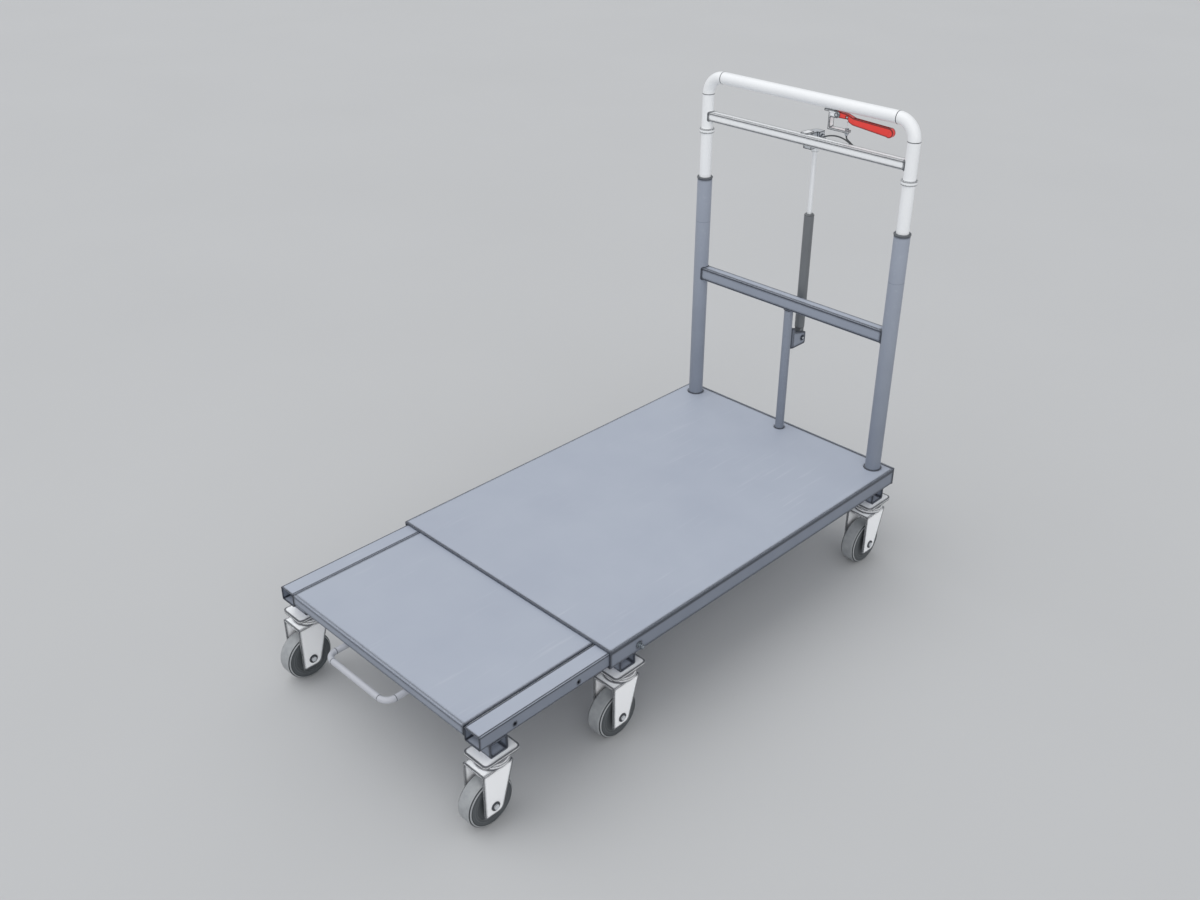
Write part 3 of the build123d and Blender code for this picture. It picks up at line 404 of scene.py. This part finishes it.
def axle_ends():
    """Zinc plated axle pin with a phosphated washer under its riveted end: a bright disc in a dark ring."""
    finish, tree, shader = new_finish("axle_zinc_pin_phosphated_washer")
    spot = node(tree, "ShaderNodeTexCoord")
    reach = from_axle(tree, spot.outputs["Generated"])
    # The pin is 10 mm across in the washer's 18 mm
    washer = node(tree, "ShaderNodeMapRange", {"Value": reach, "From Min": 0.545, "From Max": 0.575})
    drift = node(
        tree,
        "ShaderNodeTexNoise",
        {"Vector": spot.outputs["Object"], "Scale": every(5), "Detail": 3.0},
    )
    zinc = node(
        tree,
        "ShaderNodeMix",
        {SHARE: drift.outputs["Fac"], BELOW: linear("#E0E3E6"), LAID_ON: linear("#D0D4D8")},
        data_type="RGBA",
    )
    black = node(
        tree,
        "ShaderNodeMix",
        {SHARE: drift.outputs["Fac"], BELOW: linear("#3B3E43"), LAID_ON: linear("#4B4E53")},
        data_type="RGBA",
    )
    tone = node(
        tree,
        "ShaderNodeMix",
        {SHARE: washer.outputs["Result"], BELOW: zinc.outputs[MIXED], LAID_ON: black.outputs[MIXED]},
        data_type="RGBA",
    )
    bright = node(
        tree, "ShaderNodeMapRange", {"Value": washer.outputs["Result"], "To Min": 0.35, "To Max": 0.2}
    )
    gloss = node(
        tree, "ShaderNodeMapRange", {"Value": drift.outputs["Fac"], "To Min": 0.36, "To Max": 0.52}
    )
    eased = node(tree, "ShaderNodeBevel", {"Radius": EASED_EDGE}, samples=4)
    looks = {
        "Base Color": tone.outputs[MIXED],
        "Metallic": bright.outputs["Result"],
        "Roughness": gloss.outputs["Result"],
        "Normal": eased.outputs["Normal"],
    }
    feed(shader, looks)
    return finish


def seam_line():
    """Grime held in the ground butt weld where an elbow joins its tube, and in the crimp on a post: a thin
    dark ring."""
    finish, tree, shader = new_finish("elbow_ground_weld_grime")
    place = node(tree, "ShaderNodeTexCoord").outputs["Object"]
    spots = node(tree, "ShaderNodeTexNoise", {"Vector": place, "Scale": every(6), "Detail": 4.0})
    tone = node(
        tree,
        "ShaderNodeMix",
        {SHARE: spots.outputs["Fac"], BELOW: linear("#24282E"), LAID_ON: linear("#40454D")},
        data_type="RGBA",
    )
    feed(shader, {"Base Color": tone.outputs[MIXED], "Roughness": 0.6})
    return finish


def moulded(name, colour, shade, roughness, grain_mm, depth, ior):
    """Moulded or extruded plastic. The mould's spark grain gives an even matt skin, the colour varies
    a little with the flow, and edges polish lighter with handling."""
    polish_reach = 1.6
    polish_covers = 0.35
    finish, tree, shader = new_finish(name)
    place = node(tree, "ShaderNodeTexCoord").outputs["Object"]
    flow = node(tree, "ShaderNodeTexNoise", {"Vector": place, "Scale": every(30), "Detail": 4.0})
    tone = node(
        tree,
        "ShaderNodeMix",
        {SHARE: flow.outputs["Fac"], BELOW: linear(colour), LAID_ON: linear(shade)},
        data_type="RGBA",
    )
    grain = node(tree, "ShaderNodeTexNoise", {"Vector": place, "Scale": every(grain_mm), "Detail": 2.0})
    gloss = node(
        tree,
        "ShaderNodeMapRange",
        {"Value": grain.outputs["Fac"], "To Min": roughness - 0.06, "To Max": roughness + 0.08},
    )
    near, eased = edges_of(tree, polish_reach)
    polish = node(tree, "ShaderNodeMath", {0: near, 1: polish_covers}, operation="MULTIPLY")
    handled = node(
        tree,
        "ShaderNodeMix",
        {SHARE: polish.outputs["Value"], BELOW: tone.outputs[MIXED], LAID_ON: linear("#8C9092")},
        data_type="RGBA",
    )
    bump = node(
        tree,
        "ShaderNodeBump",
        {"Height": grain.outputs["Fac"], "Strength": 0.3, "Distance": depth / 1000, "Normal": eased},
    )
    looks = {
        "Base Color": handled.outputs[MIXED],
        "Roughness": gloss.outputs["Result"],
        "Normal": bump.outputs["Normal"],
        "IOR": ior,
    }
    feed(shader, looks)
    return finish


def tread_rubber():
    """Grey thermoplastic rubber, moulded round the wheel. The running face is scuffed matt with
    fine rings round it and picks up dust, and so does the shoulder, a light band between two dark
    rings; the rest of the side wall stays as dark as the wheel."""
    # Shares of the tyre's radius
    shoulder_starts = 0.89
    shoulder_ends = 0.968
    inner_ring_half = 0.015
    outer_ring_half = 0.014
    finish, tree, shader = new_finish("tread_thermoplastic_rubber_moulded")
    spot = node(tree, "ShaderNodeTexCoord")
    place = spot.outputs["Object"]
    reach = from_axle(tree, spot.outputs["Generated"])
    running = node(tree, "ShaderNodeMapRange", {"Value": reach, "From Min": 0.972, "From Max": 0.992})
    outer = node(tree, "ShaderNodeMath", {0: reach, 1: shoulder_starts}, operation="GREATER_THAN")
    dirt = node(tree, "ShaderNodeTexNoise", {"Vector": place, "Scale": every(12), "Detail": 5.0})
    dust = node(
        tree, "ShaderNodeMapRange", {"Value": dirt.outputs["Fac"], "From Min": 0.35, "From Max": 0.7}
    )
    wall = node(
        tree,
        "ShaderNodeMix",
        {SHARE: dust.outputs["Result"], BELOW: linear("#4A4E51"), LAID_ON: linear("#53575A")},
        data_type="RGBA",
    )
    face = node(
        tree,
        "ShaderNodeMix",
        {SHARE: dust.outputs["Result"], BELOW: linear("#929598"), LAID_ON: linear("#A0A3A5")},
        data_type="RGBA",
    )
    tone = node(
        tree,
        "ShaderNodeMix",
        {SHARE: outer.outputs["Value"], BELOW: wall.outputs[MIXED], LAID_ON: face.outputs[MIXED]},
        data_type="RGBA",
    )
    # Dirt packs in a ring at each edge of the shoulder
    inner_ring = node(
        tree, "ShaderNodeMath", {0: reach, 1: shoulder_starts, 2: inner_ring_half}, operation="COMPARE"
    )
    outer_ring = node(
        tree, "ShaderNodeMath", {0: reach, 1: shoulder_ends, 2: outer_ring_half}, operation="COMPARE"
    )
    packed = node(
        tree,
        "ShaderNodeMath",
        {0: inner_ring.outputs["Value"], 1: outer_ring.outputs["Value"]},
        operation="MAXIMUM",
    )
    ringed = node(
        tree,
        "ShaderNodeMix",
        {SHARE: packed.outputs["Value"], BELOW: tone.outputs[MIXED], LAID_ON: linear("#26292C")},
        data_type="RGBA",
    )
    # Rings from the mould and from wear, about 1 mm apart; 4 mm shows at this size. A wave texture of
    # scale 1 comes round this many times in a metre
    wave_turns = 20 / (2 * math.pi)
    rings = node(
        tree,
        "ShaderNodeTexWave",
        {
            "Vector": place,
            "Scale": every(4) / wave_turns,
            "Distortion": 1.2,
            "Detail": 2.0,
            "Detail Scale": 4.0,
        },
        bands_direction="X",
    )
    ring_share = node(
        tree,
        "ShaderNodeMath",
        {0: rings.outputs["Fac"], 1: running.outputs["Result"]},
        operation="MULTIPLY",
    )
    bump = node(
        tree,
        "ShaderNodeBump",
        {"Height": ring_share.outputs["Value"], "Strength": 0.25, "Distance": 0.0003},
    )
    gloss = node(
        tree, "ShaderNodeMapRange", {"Value": dust.outputs["Result"], "To Min": 0.55, "To Max": 0.75}
    )
    looks = {
        "Base Color": ringed.outputs[MIXED],
        "Roughness": gloss.outputs["Result"],
        "Normal": bump.outputs["Normal"],
        "IOR": 1.5,
    }
    feed(shader, looks)
    return finish


def studio_floor():
    """Matt rolled floor paper: almost even, with a faint cloud so that it isn't a flat tint."""
    finish, tree, shader = new_finish("floor_matt_paper")
    place = node(tree, "ShaderNodeTexCoord").outputs["Object"]
    cloud = node(tree, "ShaderNodeTexNoise", {"Vector": place, "Scale": every(900), "Detail": 3.0})
    tone = node(
        tree,
        "ShaderNodeMix",
        {SHARE: cloud.outputs["Fac"], BELOW: linear("#C2C3C4"), LAID_ON: linear("#BDBEBF")},
        data_type="RGBA",
    )
    feed(shader, {"Base Color": tone.outputs[MIXED], "Roughness": 0.8})
    return finish


# Colours, grime on the edges, roughness, how strong the orange peel and the scuffs are, and the colour of
# the painted side shade
DECK_COAT = {
    "colour": "#ABB2BF",
    "shade": "#A6ADBB",
    "edge": "#20252F",
    "roughness": 0.44,
    "peel": 0.10,
    "scuffs": 0.20,
    # Painted shade: the darker grey laid on the upright faces
    "side_shade_colour": "#727986",
}
# The apron's painted side shade is lighter than the rest of the deck's
APRON_COAT = {**DECK_COAT, "side_shade_colour": "#868D9A"}
PULL_COAT = {
    "colour": "#B3B5BC",
    "shade": "#ACAFB6",
    "edge": "#20252F",
    "roughness": 0.44,
    "peel": 0.10,
}
WHITE_COAT = {
    "colour": "#F1F2F3",
    "shade": "#ECEEF0",
    "edge": "#2F343C",
    "roughness": 0.36,
    "peel": 0.08,
}
# Painted light: a brighter white for the casters, against the shade that the deck casts on them
CASTER_COAT_LIT = {**WHITE_COAT, "colour": "#FCFDFE", "shade": "#F8F9FB"}
LEVER_COAT = {
    "colour": "#F0473F",
    "shade": "#E83E37",
    "edge": "#5A1210",
    "roughness": 0.32,
    "peel": 0.08,
}
CYLINDER_ENAMEL = {
    "colour": "#727578",
    "shade": "#6A6D70",
    "edge": "#232425",
    "roughness": 0.36,
    "peel": 0.05,
}
# Grinding lines run round the upright rod, and the fittings' tool lines run up and down
ROUND_ROD = (0.05, 0.05, 1)
UP_FITTINGS = (1, 1, 0.2)
ROD_CHROME = {
    "colour": "#F6F7F8",
    "shade": "#EEF0F2",
    "edge": "#83878C",
    "roughness": 0.46,
    "grain_mm": 0.8,
    "across": ROUND_ROD,
    "metallic": 0.55,
}
FITTING_ZINC = {
    "colour": "#DEE1E4",
    "shade": "#CFD3D8",
    "edge": "#3C4148",
    "roughness": 0.42,
    "grain_mm": 1.2,
    "across": UP_FITTINGS,
}
LOCK_ZINC = {
    "colour": "#BCC4CA",
    "shade": "#A9B2B9",
    "edge": "#31363D",
    "roughness": 0.50,
    "grain_mm": 1.2,
    "across": UP_FITTINGS,
}
BUSH_NYLON = {
    "colour": "#4A4E53",
    "shade": "#52565B",
    "roughness": 0.48,
    "grain_mm": 0.9,
    "depth": 0.08,
    "ior": 1.53,
}
CABLE_PVC = {
    "colour": "#45484A",
    "shade": "#4D5052",
    "roughness": 0.5,
    "grain_mm": 1.4,
    "depth": 0.1,
    "ior": 1.53,
}
WHEEL_POLYPROPYLENE = {
    "colour": "#44484B",
    "shade": "#4C5053",
    "roughness": 0.5,
    "grain_mm": 1.1,
    "depth": 0.1,
    "ior": 1.49,
}

FINISHES = {
    # Satin coat in grey blue on the decks and the frame: soft sheen, dark drawn edges, painted shade on the
    # upright sides
    "deck_paint": powder_coat("deck_satin_powder_coat", reach=9.0, **DECK_COAT),
    # Gloss coat in near white on the hoop: tighter highlights, grey edges
    "white_coat": powder_coat("white_gloss_powder_coat", reach=7.5, **WHITE_COAT),
    # Gloss red on the lever, with a dark line where the fold draws thin
    "lever_red": powder_coat("lever_red_powder_coat", reach=4.0, **LEVER_COAT),
    # Stoved enamel on the gas spring: grey black, smooth, with a long soft highlight
    "cylinder_black": powder_coat("cylinder_stoved_enamel", reach=2.0, **CYLINDER_ENAMEL),
    # Ground chrome on the rod and the wire: the lightest steel, with a soft band down its length
    "spring_steel": plated_steel("rod_ground_chrome_steel", reach=1.6, **ROD_CHROME),
    # Zinc on the release head, the pins and the cable end: pale grey with dark outlines
    "zinc_fittings": plated_steel("fittings_zinc_plated_steel", reach=3.2, **FITTING_ZINC),
    # Plastics in grey black: matt, with edges a little paler from handling
    "bush_plastic": moulded("bush_moulded_nylon", **BUSH_NYLON),
    "cable_black": moulded("cable_extruded_pvc", **CABLE_PVC),
    "wheel_plastic": moulded("wheel_moulded_polypropylene", **WHEEL_POLYPROPYLENE),
    "tread_grey": tread_rubber(),
}
# Grime has less room along the edges of white pieces a few millimetres thick
small_white = powder_coat("white_gloss_powder_coat_thin_pieces", reach=5.0, **WHITE_COAT)
# The locks sit low on the deck's side, where the plate has dulled to the grey of the coat
lock_zinc = plated_steel("lock_dulled_zinc_plate", reach=3.0, **LOCK_ZINC)
# Where a bar's rounded edges start and half the width of their lines, as shares of its half width
UPPER_ROUNDS = {"start": 0.70, "half_line": 0.07, "across": ACROSS_X}
LOWER_ROUNDS = {"start": 0.78, "half_line": 0.07, "across": ACROSS_X}
RAIL_ROUNDS = {"start": 0.85, "half_line": 0.045, "across": ACROSS_Y}
# The side angles rub the rails' edges, so their grime is narrow
rail_coat = powder_coat("rail_satin_powder_coat", reach=6.0, rounds=RAIL_ROUNDS, **DECK_COAT)
# The casters take a brighter white than the hoop: painted light that makes up for the deck's shade over
# them
caster_painted_light = powder_coat("caster_gloss_powder_coat_painted_light", reach=7.5, **CASTER_COAT_LIT)
ENDING_FINISHES = {
    "_axle": axle_ends(),
    "_rail": rail_coat,
    "_fork": caster_painted_light,
    "_caster_plates": caster_painted_light,
}
PIECE_FINISHES = {
    # The pull rod and the apron are paler than the sides: the rod takes no painted side shade, and the
    # apron a lighter painted side shade
    "pull_handle": powder_coat("pull_rod_satin_powder_coat", reach=2.0, **PULL_COAT),
    "extension_deck": powder_coat("apron_satin_powder_coat", reach=9.0, **APRON_COAT),
    "lever_bracket": small_white,
    "spring_tab": small_white,
    "stop_collars": small_white,
    # The crossbars' rounded edges hold a line of grime on each side of the round
    "upper_crossbar": powder_coat(
        "white_gloss_powder_coat_round_edges", reach=7.5, rounds=UPPER_ROUNDS, **WHITE_COAT
    ),
    "lower_crossbar": powder_coat(
        "deck_satin_powder_coat_round_edges", reach=9.0, rounds=LOWER_ROUNDS, **DECK_COAT
    ),
    "lock_bushes": lock_zinc,
    "left_lock_pin": lock_zinc,
    "right_lock_pin": lock_zinc,
}
seam_grime = seam_line()
for row in frame["record"]["subparts"]:
    mesh = nodes[row["node"]].data
    finish = FINISHES[row["material_slot"]]
    for ending, own in ENDING_FINISHES.items():
        if row["node"].endswith(ending):
            finish = own
    mesh.materials.clear()
    mesh.materials.append(PIECE_FINISHES.get(row["node"], finish))


def weld_bead(name, corners, size, body, slot, closed=False, finish=None):
    """A run of weld laid as overlapping ripples along a line, painted with the steel that it joins and
    ground flush where it would stand out of the cart's box."""
    pitch = 0.0026
    step = pitch / 4
    sides = 8
    # Shares of the bead's radius: the height of a ripple, the welder's hand, and the taper at open ends
    ripple_height = 0.14
    unsteady = 0.05
    end_size = 0.55
    end_growth = 0.12
    # A run that is steeper than this takes its side from X
    steep = 0.9
    chance = random.Random(name)
    points = [Vector(c) for c in corners]
    if closed:
        points.append(points[0])
    line = []
    for a, b in zip(points, points[1:]):
        count = max(1, round((b - a).length / step))
        line += [a.lerp(b, i / count) for i in range(count)]
    if not closed:
        line.append(points[-1])
    last = len(line)
    mesh = bmesh.new()
    rings = []
    for i, centre in enumerate(line):
        before = line[i - 1] if i or closed else centre
        after = line[(i + 1) % last] if i + 1 < last or closed else centre
        along = (after - before).normalized()
        aside = along.cross(Vector((0, 0, 1)) if abs(along.z) < steep else Vector((1, 0, 0))).normalized()
        over = aside.cross(along)
        ripple = i * step % pitch / pitch
        radius = size * (1 - ripple_height + ripple_height * math.sqrt(1 - ripple))
        radius *= 1 + unsteady * chance.uniform(-1, 1)
        if not closed:
            radius *= min(1.0, end_size + end_growth * min(i, last - 1 - i))
        ring = []
        for k in range(sides):
            turn = 2 * math.pi * k / sides
            point = centre + radius * (math.cos(turn) * aside + math.sin(turn) * over)
            inside = [min(max(c, low), high) for c, low, high in zip(point, *cad_box)]
            ring.append(mesh.verts.new(inside))
        rings.append(ring)
    for i in range(last if closed else last - 1):
        here = rings[i]
        there = rings[(i + 1) % last]
        for k in range(sides):
            beside = (k + 1) % sides
            mesh.faces.new((here[k], here[beside], there[beside], there[k]))
    if not closed:
        mesh.faces.new(reversed(rings[0]))
        mesh.faces.new(rings[-1])
    data = bpy.data.meshes.new(name)
    bmesh.ops.recalc_face_normals(mesh, faces=mesh.faces)
    mesh.to_mesh(data)
    mesh.free()
    for face in data.polygons:
        face.use_smooth = True
    data.materials.append(finish or FINISHES[slot])
    bead = bpy.data.objects.new(name, data)
    bpy.context.scene.collection.objects.link(bead)
    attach(bead, body)


def ring_line(x, y, z, radius):
    """Points round an upright tube."""
    count = 72
    turns = [2 * math.pi * i / count for i in range(count)]
    return [(x + radius * math.cos(t), y + radius * math.sin(t), z) for t in turns]


def cope_line(side, depth, height, level, tube_radius):
    """Points where a bar with rounded edges meets an upright tube. The runs across the bar's top and
    bottom are bent round the tube too."""
    corner_steps = 8
    flat_steps = 12
    section = []
    for quarter in range(4):
        y_corner = (depth / 2 - BAR_CORNER) * (1 if quarter in (0, 3) else -1)
        z_corner = (height / 2 - BAR_CORNER) * (1 if quarter in (0, 1) else -1)
        for part in range(corner_steps + 1):
            turn = math.pi / 2 * (quarter + part / corner_steps)
            y = y_corner + BAR_CORNER * math.cos(turn)
            z = z_corner + BAR_CORNER * math.sin(turn)
            section.append((y, z))
        if quarter in (0, 2):
            z_flat = section[-1][1]
            for part in range(1, flat_steps):
                section.append((y_corner * (1 - 2 * part / flat_steps), z_flat))
    line = []
    for y, z in section:
        x = side * (POST_X - math.sqrt(tube_radius**2 - y**2))
        line.append((x, POST_Y + y, level + z))
    return line


SIDES = (("left", -1), ("right", 1))
for side, sign in SIDES:
    post_foot = ring_line(sign * POST_X, POST_Y, DECK_TOP + POST_BEAD_OFF, POST_RADIUS + POST_BEAD_OFF)
    weld_bead(f"{side}_post_weld", post_foot, POST_BEAD, "chassis", "deck_paint", closed=True)
    lower_end = cope_line(sign, *LOWER_BAR, POST_RADIUS)
    weld_bead(f"{side}_lower_bar_weld", lower_end, LOWER_BAR_BEAD, "chassis", "deck_paint", closed=True)
    upper_end = cope_line(sign, *UPPER_BAR, HOOP_RADIUS)
    weld_bead(f"{side}_upper_bar_weld", upper_end, UPPER_BAR_BEAD, "push_handle", "white_coat", closed=True)
    clevis_side = [(sign * CLEVIS_EDGE, CLEVIS_FRONT - CLEVIS_BEAD_IN, z) for z in CLEVIS_SPAN]
    weld_bead(f"{side}_clevis_weld", clevis_side, CLEVIS_BEAD, "chassis", "deck_paint")
    tab_x = sign * (TAB_HALF + TAB_BEAD_OFF)
    tab_side = [(tab_x, POST_Y + y, TAB_TOP + TAB_BEAD_OFF) for y in TAB_RUN]
    weld_bead(f"{side}_tab_weld", tab_side, TAB_BEAD, "push_handle", "white_coat")
    for edge in (-1, 1):
        pull_x = sign * PULL_X + edge * PULL_BEAD_APART
        pull_side = [(pull_x, APRON_FRONT + y, APRON_UNDER - PULL_BEAD_DROP) for y in PULL_RUN]
        weld_bead(f"{side}_pull_weld_{edge + 1}", pull_side, PULL_BEAD, "extension", "deck_paint")
    for row, swivel_y in SWIVEL_Y.items():
        body = "extension" if row == "front" else "chassis"
        riser_z = RISER_TOPS[row] - RISER_BEAD_DROP
        for end in (-1, 1):
            riser_y = swivel_y + end * (RISER_HALF + RISER_BEAD_OFF)
            riser_end = [(sign * CASTER_X + x, riser_y, riser_z) for x in RISER_RUN]
            weld_bead(f"{row}_{side}_riser_weld_{end + 1}", riser_end, RISER_BEAD, body, "deck_paint")
for side, sign in SIDES:
    leg = ring_line(sign * POST_X, POST_Y, HOOP_TOP - HOOP_BEND, HOOP_RADIUS - ELBOW_SEAM_IN)
    # The same ring, turned on its side, for the other end of the elbow
    top = [(sign * (POST_X - HOOP_BEND), y, HOOP_TOP + x - sign * POST_X) for x, y, _ in leg]
    for place, ring in (("leg", leg), ("top", top)):
        seam = f"{side}_{place}_elbow_seam"
        weld_bead(seam, ring, ELBOW_SEAM, "push_handle", "white_coat", True, seam_grime)
    crimp = ring_line(sign * POST_X, POST_Y, CRIMP_LEVEL, POST_RADIUS - CRIMP_RING_IN)
    weld_bead(f"{side}_post_crimp", crimp, CRIMP_RING, "chassis", "deck_paint", True, seam_grime)
    turns = ring_line(0, 0, 0, PULL_RADIUS - PULL_SEAM_IN)
    level = APRON_UNDER - PULL_RADIUS
    arm = [(sign * PULL_X + a, PULL_FRONT + PULL_BEND, level + b) for a, b, _ in turns]
    grip = [(sign * (PULL_X - PULL_BEND), PULL_FRONT + a, level + b) for a, b, _ in turns]
    for place, ring in (("arm", arm), ("grip", grip)):
        seam = f"{side}_{place}_pull_seam"
        weld_bead(seam, ring, PULL_SEAM, "extension", "deck_paint", True, seam_grime)
strut_foot = ring_line(0, POST_Y, DECK_TOP + STRUT_FOOT_OFF, STRUT_RADIUS + STRUT_FOOT_OFF)
weld_bead("strut_foot_weld", strut_foot, STRUT_FOOT_BEAD, "chassis", "deck_paint", closed=True)
strut_head = ring_line(0, POST_Y, LOWER_BAR_UNDER - STRUT_HEAD_OFF, STRUT_RADIUS + STRUT_HEAD_OFF)
weld_bead("strut_head_weld", strut_head, STRUT_HEAD_BEAD, "chassis", "deck_paint", closed=True)

# Floor, light and camera
FLOOR_REACH = 30.0
floor_mesh = bpy.data.meshes.new("floor")
floor_corners = [(x * FLOOR_REACH, y * FLOOR_REACH, 0) for x, y in ((-1, -1), (1, -1), (1, 1), (-1, 1))]
floor_mesh.from_pydata(floor_corners, [], [(0, 1, 2, 3)])
floor_mesh.materials.append(studio_floor())
floor = bpy.data.objects.new("floor", floor_mesh)
bpy.context.scene.collection.objects.link(floor)

world = bpy.data.worlds.new("studio")
bpy.context.scene.world = world
world.use_nodes = True
world.node_tree.nodes.clear()
sky = node(world.node_tree, "ShaderNodeBackground", {"Color": linear("#F4F6F9"), "Strength": 0.66})
node(world.node_tree, "ShaderNodeOutputWorld", {"Surface": sky.outputs["Background"]})

# Each lamp's strength and the direction that it shines from; both are spread wide for soft shadows
LAMP_SPREAD = math.radians(70)
LAMPS = {"key": (1.06, (-0.42, -0.28, 0.86)), "fill": (1.15, (0.74, -0.62, 0.24))}
for name, (energy, direction) in LAMPS.items():
    lamp = bpy.data.lights.new(name, "SUN")
    lamp.energy = energy
    lamp.angle = LAMP_SPREAD
    light = bpy.data.objects.new(name, lamp)
    light.rotation_euler = Vector(direction).to_track_quat("Z", "Y").to_euler()
    bpy.context.scene.collection.objects.link(light)

# The photograph's camera: focal length and picture width in pixels, place in metres, angles in degrees
FOCAL_LENGTH = 1235.79
PICTURE_WIDTH = 1200
SENSOR_WIDTH = 36.0
CAMERA_PLACE = (1.50744, -1.52607, 1.64233)
LOOKS_DOWN = 30.17
TURNED_LEFT = 44.98
lens = bpy.data.cameras.new("camera")
lens.sensor_width = SENSOR_WIDTH
lens.lens = SENSOR_WIDTH * FOCAL_LENGTH / PICTURE_WIDTH
lens.clip_end = 100
camera = bpy.data.objects.new("camera", lens)
camera.location = CAMERA_PLACE
camera.rotation_euler = (math.radians(90 - LOOKS_DOWN), 0, math.radians(TURNED_LEFT))
bpy.context.scene.collection.objects.link(camera)
bpy.context.scene.camera = camera
bpy.context.scene.view_settings.view_transform = "Standard"
